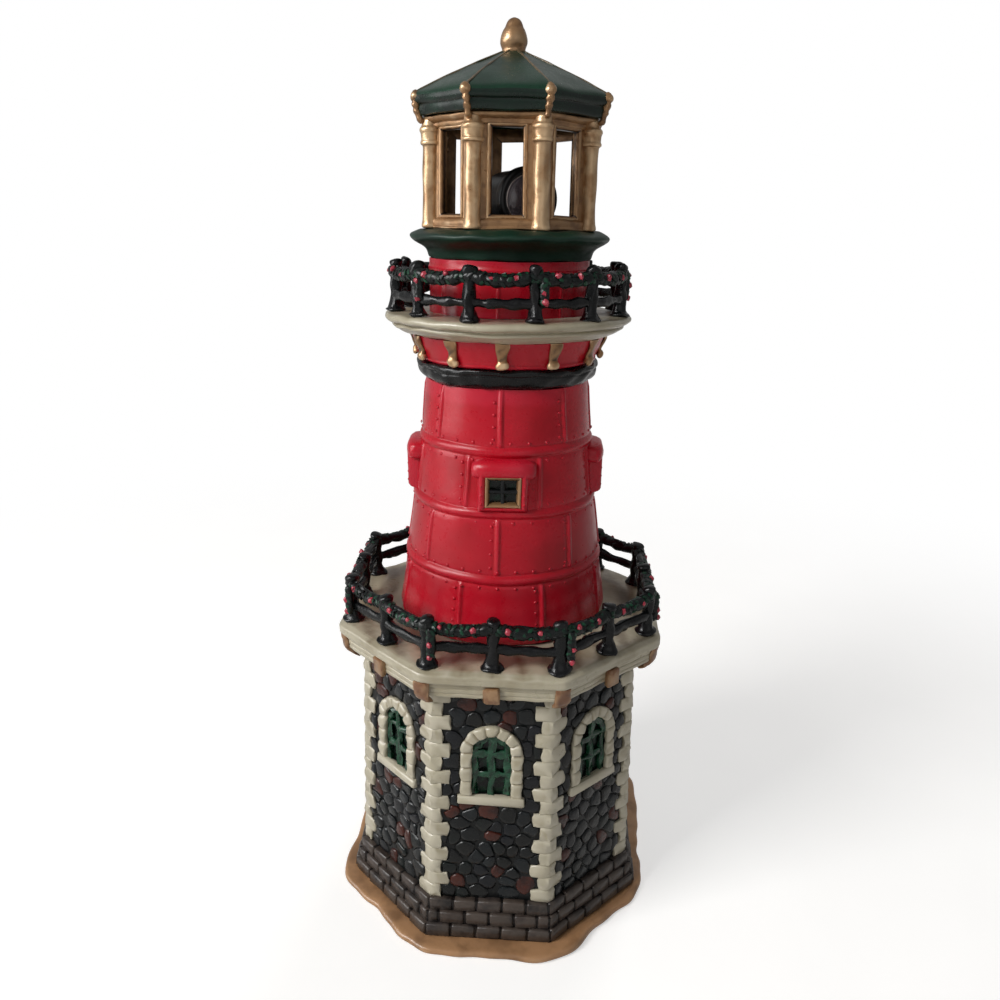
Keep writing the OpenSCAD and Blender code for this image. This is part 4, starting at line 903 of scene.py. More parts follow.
@dataclass
class Ground:
    """The wavy sand slab and the brick courses on it."""

    slab_h: float = 2.6
    slab_r: float = 54.2
    corner_swell: float = 1.7
    wave: float = 1.0
    pinch: float = 1.2
    yard: float = 13.5
    yard_at: tuple[float, float] = (math.radians(41), math.radians(142))
    yard_spread: float = math.radians(13)
    hole_r: float = 44.0
    course_h: float = 4.07
    courses: int = 3
    plinth_r: float = 51.0
    step: float = 1.1
    brick_joint: float = 0.5
    brick_proud: float = 0.60
    brick_depth: float = 1.6
    brick_lean: float = 0.04
    bricks_a_side: int = 5
    rim_points: int = 240

    def rim(self, a: Array) -> Array:
        """Radius of the slab at an angle: its mean, a swell at each corner and slow waves, less
        a pinch to the left and right, and a bell at each of the two back corners.

        Args:
            a: Angles in radians.

        Returns:
            The radii.
        """
        turn = np.radians([22.5, 15, 25])
        yard = sum(np.exp(-((a - at) / self.yard_spread) ** 2) for at in self.yard_at)
        return (self.slab_r + self.corner_swell * np.cos(SIDES * (a - turn[0]))
                + self.wave * np.sin(3 * a - turn[1]) * np.cos(a + turn[2])
                - self.pinch * np.cos(a) ** 2 + self.yard * yard)

    def slab(self) -> Shape:
        """The slab: a closed profile that is the octagonal hole at one end and the rim at the
        other, with weight w between them.

        Returns:
            The shape.
        """
        a = around(self.rim_points)
        rows = soften([
            (0, 0, 0.0), (1, -1.3, 0.0), (1, -0.35, 0.35), (1, -0.05, 1.0), (1, -0.2, 1.75),
            (1, -0.8, 2.35), (1, -2.2, 2.55), (0.5, -1.6, 2.6), (0, 0, 2.6)], 2, closed=True)
        w, off, z = (rows[:, n:n + 1] for n in range(3))
        fine = 0.25 * np.sin(17 * a + 1) * np.sin(5 * a) + 0.2 * np.sin(29 * a + 2 * np.sin(3 * a))
        inner = octagon_radius(a, self.hole_r)
        radius = (1 - w) * inner + w * (self.rim(a) + off + fine - 0.2)
        top = (z > 1.2) * w * 0.22 * np.sin(9 * a + 3 * np.sin(2 * a))
        return Shape.rings(polar(radius, a, np.maximum(z + top, 0)), wrap=True)

    def bricks(self) -> Shape:
        """Rounded bricks in staggered courses, each with its own size, tilt and tone.

        Returns:
            The shape.
        """
        rng = np.random.default_rng(4)
        shapes = []
        for course in range(self.courses):
            corner = self.plinth_r - course * self.step
            length = 2 * corner * math.sin(TURN / 2)
            pitch = length / self.bricks_a_side
            edges = np.arange(self.bricks_a_side + 1) * pitch - length / 2
            if course % 2:
                edges = np.concatenate([[-length / 2], edges[:-1] + pitch / 2, [length / 2]])
            count = len(edges) - 1
            place = np.tile(edges, (SIDES, 1))
            place[:, 1:-1] += rng.uniform(-0.5, 0.5, (SIDES, count - 1))
            face = np.repeat(np.arange(SIDES) * TURN, count)
            along, out = frames(face)
            low, high = place[:, :-1].ravel(), place[:, 1:].ravel()
            n = len(face)
            depth = self.brick_depth
            front = corner * FLAT + self.brick_proud + rng.uniform(-0.14, 0.14, n)
            z = self.slab_h + (course + 0.5) * self.course_h + rng.uniform(0.24, 0.38, n)
            lean = rng.uniform(-0.06, 0.06, (n, 1))
            up = UP - self.brick_lean * out + lean * along
            centre = (along * ((low + high) / 2)[:, None] + out * (front - depth)[:, None]
                      + z[:, None] * UP)
            half = np.stack([(high - low - self.brick_joint) / 2 + 0.05, np.full(n, depth),
                             (self.course_h + 0.15) / 2 + rng.uniform(-0.10, 0.02, n)], -1)
            stack = pillows(centre, along, out, up, half, 0.8, 12)
            # Painted shade along each brick's foot, and a faint painted highlight on its top.
            dip = np.array([0.45, 0.0, -0.1, -0.1])[None, :, None]
            shapes.append(Shape.rings(stack, tone=rng.uniform(0, 0.999, (n, 1, 1)), dip=dip))
        return Shape.join(shapes).lumpy(3.2, 0.17, 2)

    def build(self) -> None:
        """Adds the slab and the bricks; the CAD plinth stays as the mortar."""
        add_piece("sand_slab", self.slab(), "sand", ["sand_base"], reach=0.3)
        add_piece("plinth_bricks", self.bricks(), "brick", reach=0.5)


@dataclass
class StoneHouse:
    """Rubble walls, corner stones, arched windows."""

    foot_z: float = 14.81
    height: float = 72.7
    corner_r: float = 47.0
    lean: float = 1.7
    rows: int = 16
    quoin_long: float = 5.2
    quoin_short: float = 2.9
    quoin_proud: float = 0.62
    arch_w: float = 11.6
    arch_h: float = 20.2
    arch_z: float = 37.6
    surround_w: float = 3.5
    surround_t: float = 1.3
    sill_h: float = 3.0
    sill_w: float = 20.2
    sill_t: float = 1.6
    bar_w: float = 1.9
    stone_w: float = 5.0
    stone_h: float = 4.1
    stone_rise: float = 0.66
    stone_sides: int = 14
    stone_press: int = 11
    stone_reach: float = 3.7
    stone_jitter: float = 0.34
    stone_joint: float = 0.07
    rear: int = 4
    panel: tuple[float, float, float] = (12.2, 7.3, 20.7)

    def __post_init__(self) -> None:
        """Works out the lean of the walls."""
        self.angle = math.atan(self.lean * FLAT / self.height)
        self.slope_h = self.height / math.cos(self.angle)
        self.arch_mid = self.arch_z + self.arch_h - self.arch_w / 2

    def half(self, s: Array) -> Array:
        """Half the width of a wall at a height up its slope."""
        return (self.corner_r - self.lean * s / self.slope_h) * math.sin(TURN / 2)

    def axes(self, wall: Array) -> tuple[Array, Array, Array, Array]:
        """Foot, along, out and up directions of walls by number, the front one being 0.

        Args:
            wall: Wall numbers.

        Returns:
            Four arrays of vectors.
        """
        face = np.asarray(wall) * TURN - math.pi / 2
        along, out = frames(face)
        up = math.cos(self.angle) * UP - math.sin(self.angle) * out
        lean_out = math.cos(self.angle) * out + math.sin(self.angle) * UP
        foot = out * self.corner_r * FLAT + UP * self.foot_z
        return foot, along, lean_out, up

    def place(self, wall: Array, x: Array, out: Array, s: Array) -> Array:
        """Points from wall numbers and places on them; all the arrays fit together."""
        foot, along, normal, up = self.axes(wall)
        return (foot + along * x[..., None] + normal * out[..., None] + up * s[..., None])

    def free(self, wall: int, x: Array, s: Array) -> Array:
        """Whether a place on a wall may hold a stone: inside the corner stones, and outside
        the window's surround, the sill and the rear panel.

        Args:
            wall: Number of the wall.
            x: Places along it.
            s: Places up it.

        Returns:
            True where a stone may be.
        """
        row = np.clip((s / (self.slope_h / self.rows)).astype(int), 0, self.rows - 1)
        even = row % 2 == 0
        right = np.where(even, self.quoin_long, self.quoin_short) + 0.1
        left = np.where(even, self.quoin_short, self.quoin_long) + 0.1
        edge = self.half(s)
        ok = (x < edge - right) & (x > left - edge) & (s > 0.05) & (s < self.slope_h - 0.1)
        reach = self.arch_w / 2 + self.surround_w - 0.15
        arch = (np.abs(x) < reach) & (s > self.arch_z) & (s < self.arch_mid)
        arch |= np.hypot(x, s - self.arch_mid) < reach
        sill = (np.abs(x) < self.sill_w / 2 - 0.1) & (s > self.arch_z - self.sill_h + 0.1)
        sill &= s < self.arch_z + 0.1
        ok &= ~(arch | sill)
        if wall == self.rear:
            ok &= ~((np.abs(x) < self.panel[0]) & (s > self.panel[1]) & (s < self.panel[2]))
        return ok

    def stones(self) -> Shape:
        """Rubble stones, each a dome over its own cell of the wall.

        Sites lie on a staggered grid with jitter. A cell's radius at an angle is the power
        mean of the distances to the lines halfway to its neighbours, so it is a rounded
        polygon; where that point isn't free it shrinks towards the site. The dome has three
        rings over its foot, each smaller and higher.

        Returns:
            The shape.
        """
        rng = np.random.default_rng(11)
        a = around(self.stone_sides)
        power = self.stone_press
        shapes = []
        for wall in range(SIDES):
            rows = np.arange(0.5, self.slope_h / self.stone_h) * self.stone_h
            x, s = np.meshgrid(np.arange(-4.5, 5) * self.stone_w, rows)
            x = x + (np.arange(len(rows)) % 2)[:, None] * self.stone_w / 2
            jitter = self.stone_jitter
            x = x + rng.uniform(-jitter, jitter, x.shape) * self.stone_w
            s = s + rng.uniform(-jitter, jitter, s.shape) * self.stone_h
            keep = self.free(wall, x, s) & (rng.random(x.shape) > 0.05)
            x, s = x[keep], s[keep]
            dx, ds = x[None] - x[:, None], s[None] - s[:, None]
            gap = np.hypot(dx, ds)
            near = (gap > 1.2) & (gap < 11)
            facing = np.clip(np.cos(a - np.arctan2(ds, dx)[..., None]), 0, 1)
            half = np.maximum(gap / 2 - self.stone_joint, 0.5)
            press = np.where(near[..., None], facing / half[..., None], 0) ** power
            radius = (press.sum(1) + self.stone_reach ** -power) ** (-1 / power)
            for _ in range(14):
                px, ps = x[:, None] + radius * np.cos(a), s[:, None] + radius * np.sin(a)
                radius = np.where(self.free(wall, px, ps), radius, radius * 0.87)
            radius = np.maximum(radius, 0.25)
            shrink = np.array([1.0, 0.97, 0.78, 0.42])[None, :, None]
            lift = np.array([-0.35, 0.35, 0.86, 1.0])[None, :, None]
            n = len(x)
            rise = self.stone_rise * rng.uniform(0.75, 1.2, (n, 1, 1))
            x, s = x[:, None, None], s[:, None, None]
            px = x + radius[:, None] * shrink * np.cos(a)
            ps = s + radius[:, None] * shrink * np.sin(a)
            tilt = rng.normal(0, 0.05, (2, n, 1, 1))
            lift = lift * rise + tilt[0] * (px - x) + tilt[1] * (ps - s)
            lift[:, 0] = -0.4
            stack = self.place(wall, px, lift, ps)
            # Painted shade round each stone's foot where it meets the grout, and a faint painted
            # highlight on its crown.
            dip = np.array([0.9, 0.4, 0.0, -0.05])[None, :, None]
            tone = np.where(rng.random(n) < 0.11, 0.8, rng.random(n) * 0.74)
            tone = np.where((tone > 0.749) & (tone < 0.79), 0.1, tone)
            shapes.append(Shape.rings(stack, tone=tone[:, None, None], dip=dip))
        return Shape.join(shapes).lumpy(2.2, 0.10, 5)

    def quoins(self) -> Shape:
        """Corner stones: a rounded section carried round the corner, one block a row.

        Returns:
            The shape.
        """
        rng = np.random.default_rng(7)
        pitch = self.slope_h / self.rows
        corner, row = (v.ravel() for v in np.meshgrid(np.arange(SIDES), np.arange(self.rows)))
        even = row % 2 == 0
        n = len(row)
        arm_in = np.where(even, self.quoin_long, self.quoin_short) + rng.uniform(-0.3, 0.2, n)
        arm_on = np.where(even, self.quoin_short, self.quoin_long) + rng.uniform(-0.3, 0.2, n)
        s = (row + 0.5) * pitch
        edge = self.half(s)
        share = np.array([-1.0, -0.93, -0.35, 0.0, 0.35, 0.93, 1.0])
        run = np.where(share < 0, share * arm_in[:, None], share * arm_on[:, None])
        before = share < 0
        wall = np.where(before, corner[:, None], corner[:, None] + 1)
        x = np.where(before, edge[:, None] + run, run - edge[:, None])
        path = self.place(wall, x, 0 * x, s[:, None])
        normal = self.axes(wall)[2]
        other = self.axes(corner[:, None] + (share == 0))[2]
        normal = np.where((share == 0)[None, :, None],
                          (self.axes(corner[:, None] + 0 * share)[2] + other) / 2 * 1.12, normal)
        up = self.axes(wall)[3]
        size = np.array([0.55, 0.95, 1.0, 1.0, 1.0, 0.95, 0.55])[:, None, None]
        tall = pitch / 2 + 0.12
        section = oval(tall, (self.quoin_proud + 0.75) / 2, 14, 0.6) * size
        section = section + np.array([0.0, (self.quoin_proud + 0.25) / 2 - 0.25])
        stack = sweep(path, up, normal, section)
        # Painted shade on the back of each block, where it meets the wall and its neighbours.
        dip = np.where(section[..., 1] < 0.2, 0.3, -0.05)[None]
        return Shape.rings(stack, dip=dip).lumpy(2.8, 0.34, 8)

    def arch_path(self, reach: float, cuts: Array) -> tuple[Array, Array]:
        """Places and sideways directions along an arch, from its left foot to its right one.

        Args:
            reach: Half the width of the arch.
            cuts: Distances along it.

        Returns:
            (n, 2) places on the wall and (n, 2) unit directions away from the opening.
        """
        jamb = self.arch_mid - self.arch_z
        arc = math.pi * reach
        turn = np.clip((cuts - jamb) / reach, 0, math.pi)
        out = np.stack([-np.cos(turn), np.sin(turn)], -1)
        drop = np.minimum(cuts - jamb, 0) + np.minimum(jamb + arc - cuts, 0)
        place = out * reach + np.stack([0 * cuts, self.arch_mid + drop], -1)
        return place, out

    def surrounds(self) -> Shape:
        """Arched surrounds in rounded blocks, and their sills.

        The section keeps its width and sinks and narrows by a bell curve at each joint.

        Returns:
            The shape.
        """
        mid = (self.arch_w + self.surround_w) / 2
        jamb, arc = self.arch_mid - self.arch_z, math.pi * mid
        joints = np.concatenate([np.linspace(0, jamb, 4), jamb + np.linspace(0, arc, 8)[1:],
                                 jamb + arc + np.linspace(0, jamb, 4)[1:]])
        spots = np.array([0.0, 0.07, 0.16, 0.36, 0.64, 0.84, 0.93])
        cuts = (joints[:-1, None] + np.diff(joints)[:, None] * spots).ravel()
        cuts = np.append(cuts, joints[-1])
        off = np.abs(cuts[:, None] - joints[None]).min(1)
        notch = np.exp(-(off / 0.34) ** 2)[:, None, None]
        place, sideways = self.arch_path(mid, cuts)
        flat = oval(self.surround_w / 2, (self.surround_t + 0.8) / 2, 12, 0.6)
        flat = flat + np.array([0.0, (self.surround_t + 0.3) / 2 - 0.25])
        section = flat[None] * np.concatenate([1 - 0.06 * notch, 1 - 0.34 * notch], -1)
        across = place[:, None] + sideways[:, None] * section[..., :1]
        walls = np.arange(SIDES)[:, None, None]
        stack = self.place(walls, across[..., 0], section[..., 1], across[..., 1])
        shape = Shape.rings(stack, dip=notch[None, ..., 0] * 0.4)
        foot, along, out, up = self.axes(np.arange(SIDES))
        centre = foot + up * (self.arch_z - self.sill_h / 2) + out * (self.sill_t / 2 - 0.6)
        half = np.tile([self.sill_w / 2, self.sill_t / 2 + 0.65, self.sill_h / 2], (SIDES, 1))
        sill = Shape.rings(pillows(centre, along, out, up, half, 0.75, 12))
        return Shape.join([shape, sill]).lumpy(3.4, 0.26, 9)

    def bars(self) -> Shape:
        """Green glazing bars: an arched bar, one upright and two cross bars a window.

        Returns:
            The shape.
        """
        half = self.bar_w / 2
        reach = self.arch_w / 2 - half + 0.1
        jamb, arc = self.arch_mid - self.arch_z, math.pi * reach
        cuts = np.linspace(0, 2 * jamb + arc, 34)
        place, sideways = self.arch_path(reach, cuts)
        thick = oval(half + 0.1, 0.66, 10, 0.9)
        across = place[:, None] + sideways[:, None] * thick[:, :1]
        lines = [(across[..., 0], across[..., 1])]
        t = np.linspace(0, 1, 9)[:, None]
        tall = self.arch_h - half
        lines.append((thick[:, 0] + 0 * t, self.arch_z + tall * t + 0 * thick[:, 0]))
        for k in (1, 2):
            level = self.arch_z + k * self.arch_h / 3
            lines.append((self.arch_w * (t - 0.5) + 0 * thick[:, 0], level + thick[:, 0] + 0 * t))
        walls = np.arange(SIDES)[:, None, None]
        depth = thick[:, 1] - 0.55
        shapes = [Shape.rings(self.place(walls, x, depth, s)) for x, s in lines]
        return Shape.join(shapes).lumpy(2.2, 0.55, 3)

    def build(self) -> None:
        """Adds the stones, corner stones, surrounds and bars; the CAD walls stay as grout."""
        add_piece("wall_stones", self.stones(), "stone", reach=0.6)
        add_piece("quoin_blocks", self.quoins(), "cream", ["corner_stones"], reach=0.5)
        add_piece("arch_surrounds", self.surrounds(), "cream", ["window_surrounds"], reach=0.4)
        add_piece("sash_bars", self.bars(), "sash", ["glazing_bars"], reach=0.4)


@dataclass
class Deck:
    """The cream deck over the walls, with its cornice and blocks."""

    foot_z: float = 87.51
    low_r: float = 52.4
    block: tuple[float, float, float] = (4.7, 1.3, 5.5)
    block_z: float = 86.71

    def slab(self) -> Shape:
        """The deck: a moulded profile carried round the octagon, with a round hole inside.

        Returns:
            The shape.
        """
        rows = soften([
            (26, 0, 1), (44.5, 0, 0), (47.6, 0.05, 0), (51.6, 0.3, 0), (52.0, 0.7, 0),
            (52.1, 1.5, 0), (51.85, 1.75, 0), (52.15, 2.0, 0), (52.2, 3.1, 0), (51.95, 3.35, 0),
            (52.3, 3.6, 0), (52.4, 4.9, 0), (52.7, 5.1, 0), (53.5, 5.2, 0), (53.85, 5.6, 0),
            (53.9, 6.6, 0), (53.85, 6.9, 0), (53.93, 7.2, 0), (53.9, 8.1, 0), (53.0, 8.5, 0),
            (52.4, 8.85, 0), (51.4, 9.05, 0), (47, 9.1, 0), (26, 9.1, 1)], 2, closed=True)
        stack = octagon_rings(rows + np.array([0, self.foot_z, 0]), 14, 90)
        # Painted shade on the deck's top: darkest near the tower, fading out towards the rim.
        hollow_share = np.interp(rows[:, :1], [40, 51, 52.5], [0.5, 0.3, 0]) * (rows[:, 1:2] > 9)
        return Shape.rings(stack, wrap=True, dip=hollow_share).lumpy(11, 0.22, 12)

    def blocks(self) -> Shape:
        """Flat bronze blocks on the cornice's lower band at mid-side, and corbels at the
        corners that tuck in to the wall below.

        Returns:
            The shape.
        """
        wide, deep, tall = self.block
        along, out = frames(wall_angles())
        centre = out * (self.low_r * FLAT + deep / 2 - 0.45) + UP * (self.block_z + tall / 2)
        half = np.tile([wide / 2, deep / 2 + 0.45, tall / 2], (SIDES, 1))
        flat = Shape.rings(pillows(centre, along, out, UP + 0.05 * out, half, 0.85, 12))
        path = soften([(52.2, 6.1), (52.3, 5.2), (51.95, 3.6), (51.7, 1.8), (51.2, 0.7),
                       (49.8, -0.5), (48.5, -1.5), (47.8, -2.3)], 1)
        t = np.linspace(0, 1, len(path))
        wide_at = wide / 2 * np.interp(t, [0, 0.06, 0.6, 0.85, 1], [0.8, 1.0, 1.0, 0.75, 0.4])
        thick = np.interp(t, [0, 0.06, 0.6, 1], [0.5, 0.85, 0.85, 0.5])
        corners = wall_angles(TURN / 2)
        corbels = Shape.rings(straps(path, wide_at, thick, corners, self.block_z, 0.7))
        return Shape.join([flat, corbels]).lumpy(3, 0.26, 13)

    def build(self) -> None:
        """Adds the deck and its blocks."""
        add_piece("deck_slab", self.slab(), "cream", ["lower_deck"], reach=0.22)
        add_piece("cornice_knobs", self.blocks(), "bronze", ["cornice_blocks"], reach=0.5)


@dataclass
class Railing:
    """A black railing with its garland and berries, on an octagon or a circle."""

    name: str
    base_z: float
    corner_r: float
    eight_sided: bool
    posts: int
    phase: float
    post: tuple[float, float, float]
    bar_r: float
    bar_z: tuple[float, float]
    garland_r: float
    sag: float
    out_up: tuple[float, float]
    tails: int
    tail_phase: float
    tail_shift: float
    tail_drop: float
    berries: tuple[float, float]
    nodes: tuple[str, str]
    seed: int
    leaf_step: float = 1.7
    berry_r: float = 0.86

    def radius(self, a: Array) -> Array:
        """Distance of the rail from the axis.

        Args:
            a: Angles in radians.

        Returns:
            The radii.
        """
        if self.eight_sided:
            return octagon_radius(a, self.corner_r, 60)
        return self.corner_r + 0 * a

    def rail(self, z: float, r: float, bulge: float) -> Shape:
        """A bar: a round section carried round the rail's line, swelling where posts meet it.

        Args:
            z: Height of the bar.
            r: Its radius.
            bulge: Share by which it swells.

        Returns:
            The bar.
        """
        a = around(192)
        near = np.abs(np.sin((a - self.phase) * self.posts / 2))
        swell = (r * (1 + bulge * np.exp(-(near / 0.16) ** 2)))[:, None, None]
        out = face_at(a)
        path = out * self.radius(a)[:, None] + UP * (self.base_z + z)
        return Shape.rings(sweep(path, out, UP, oval(1, 1.3, 12, 1.0) * swell), wrap=True)

    def railing(self) -> Shape:
        """Posts with bell feet turned on a lathe, and the two bars.

        Returns:
            The shape.
        """
        r, foot, h = self.post
        rows = soften([
            (foot * 0.5, 0), (foot * 1.04, 0.05), (foot * 1.1, 0.7), (foot * 0.86, 1.3),
            (r * 1.25, 2.1), (r * 1.02, 3.4), (r * 1.05, 5.5), (r, 8), (r * 1.05, h - 2.6),
            (r * 1.15, h - 1.7), (r * 1.2, h - 0.9), (r * 0.95, h - 0.25), (r * 0.4, h)], 2)
        one = lathe(rows, 16)
        a = self.phase + around(self.posts)
        centre = face_at(a) * self.radius(a)[:, None] + UP * self.base_z
        posts = Shape.rings(one[None] + centre[:, None, None])
        bars = [self.rail(z, self.bar_r, 0.25) for z in self.bar_z]
        return Shape.join([posts] + bars).lumpy(4.0, 0.42, self.seed)

    def line(self, a: Array) -> Array:
        """The garland's centre line: outside the top bar, sagging by a sine between posts.

        Args:
            a: Angles in radians.

        Returns:
            Points of the line.
        """
        t = (a - self.phase) * self.posts / (2 * math.pi)
        dip = self.sag * np.abs(np.sin(math.pi * t))
        level = self.base_z + self.bar_z[1] + self.out_up[1] - dip
        return face_at(a) * (self.radius(a) + self.out_up[0])[:, None] + level[:, None] * UP

    def tail_tops(self) -> Array:
        """Upper ends of the short tails that hang beside the posts.

        Returns:
            One point a tail.
        """
        along, out = frames(self.tail_phase + around(self.tails))
        return (out * (self.corner_r + 0.9) + along * self.tail_shift
                + UP * (self.base_z + self.bar_z[1]))

    def garland(self) -> Shape:
        """A lumpy core along the line, tails, and short leaves in rows over both.

        Leaves are spindles of three rings whose axis leans out from the line by turns to the
        left and to the right.

        Returns:
            The shape.
        """
        rng = np.random.default_rng(self.seed)
        a = around(360)
        swell = 1 + 0.10 * np.sin(a * 57) + 0.08 * np.sin(a * 35 + 1)
        core = sweep(self.line(a), face_at(a), UP,
                     oval(1, 1, 10, 1.0) * (self.garland_r * 0.86 * swell)[:, None, None])
        shapes = [Shape.rings(core, wrap=True, tone=0.3)]
        tops = self.tail_tops()
        thin = self.garland_r * 0.66
        t = np.linspace(0, 1, 9)
        radii = thin * np.array([0.7, 1.05, 0.95, 1.1, 0.95, 1.1, 1.0, 0.8, 0.35])
        rings = oval(1, 1, 9, 1.0)[None] * radii[:, None, None]
        drop = (0.8 - t * (self.tail_drop + 1.8))[:, None] * UP
        angle = np.arctan2(tops[:, 1], tops[:, 0])
        side, face = (v[:, None] for v in frames(angle))
        shapes.append(Shape.rings(sweep(tops[:, None] + drop, side, face, rings), tone=0.3))
        place, away, lead = [], [], []
        count = int(2 * math.pi * self.corner_r * 0.96 / self.leaf_step)
        sway = np.where(np.arange(count) % 2, 0.9, -0.9)[:, None]
        for tilt in np.radians([-35, 15, 60, 110]):
            b = around(count, rng.uniform(-0.3, 0.3, count))
            along, face = frames(b)
            normal = face * math.cos(tilt) + UP * math.sin(tilt)
            place.append(self.line(b) + normal * self.garland_r * 0.8)
            away.append(normal)
            lead.append(along + np.cross(normal, along) * sway)
        for k in range(5):
            for turn in (-50, 0, 50):
                normal = face_at(angle + math.radians(turn))
                place.append(tops - UP * (k * self.tail_drop / 4.4 + 0.2) + normal * thin * 0.8)
                away.append(normal)
                lead.append(np.cross(normal, UP) * (0.8 if k % 2 else -0.8) - UP)
        centre, normal, axis = (np.concatenate(v) for v in (place, away, lead))
        axis = axis + 0.28 * normal + rng.normal(0, 0.15, axis.shape)
        axis /= np.linalg.norm(axis, axis=1, keepdims=True)
        wide = np.cross(axis, normal)
        wide /= np.linalg.norm(wide, axis=1, keepdims=True)
        thick = np.cross(wide, axis)
        steps = np.array([-0.9, 0.0, 1.0])
        radii = np.array([0.42, 0.66, 0.24])[:, None, None]
        size = rng.uniform(0.7, 1.05, (len(centre), 1, 1))
        path = centre[:, None] + axis[:, None] * (steps[None, :, None] * size)
        stack = sweep(path, wide[:, None], thick[:, None], oval(1, 0.62, 6, 1.0) * radii)
        tone = rng.random((len(centre), 1, 1)) * 0.999
        # Painted shade at each leaf's base near the garland, and a faint painted highlight at its
        # tip.
        shapes.append(Shape.rings(stack, tone=tone, dip=np.array([0.4, 0.0, -0.1])[:, None]))
        return Shape.join(shapes)

    def berry_shape(self) -> Shape:
        """Round berries on the garland and at the ends of the tails.

        Returns:
            The shape.
        """
        a = self.phase + (np.arange(self.posts)[:, None]
                          + np.array(self.berries)).ravel() * 2 * math.pi / self.posts
        tops = self.tail_tops()
        tail_out = face_at(np.arctan2(tops[:, 1], tops[:, 0]))
        low = tops - UP * self.tail_drop
        r = self.garland_r
        centre = np.concatenate([self.line(a) + face_at(a) * r * 0.76 + UP * 0.3 * r,
                                 low + tail_out * r * 0.6,
                                 low + tail_out * r * 0.62 + UP * 3.4])
        b = np.radians([-60, -20, 20, 60])
        ball = lathe(np.stack([np.cos(b), np.sin(b)], -1) * self.berry_r, 9)
        rng = np.random.default_rng(self.seed + 4)
        along, face = frames(np.arctan2(centre[:, 1], centre[:, 0]))
        shift = rng.normal(0, 0.4, (len(centre), 2))
        centre = centre + along * shift[:, :1] + shift[:, 1:] * UP - 0.12 * face
        size = rng.uniform(0.82, 1.12, (len(centre), 1, 1, 1))
        return Shape.rings(ball[None] * size + centre[:, None, None]).lumpy(1.2, 0.26, self.seed)

    def build(self) -> None:
        """Adds the railing, its garland and its berries."""
        add_piece(self.name + "_rails", self.railing(), "rail", [self.nodes[0]], reach=0.6)
        add_piece(self.name + "_boughs", self.garland(), "garland", [self.nodes[1]], reach=0.6)
        add_piece(self.name + "_berries", self.berry_shape(), "berry", ["berries"], reach=0.5)


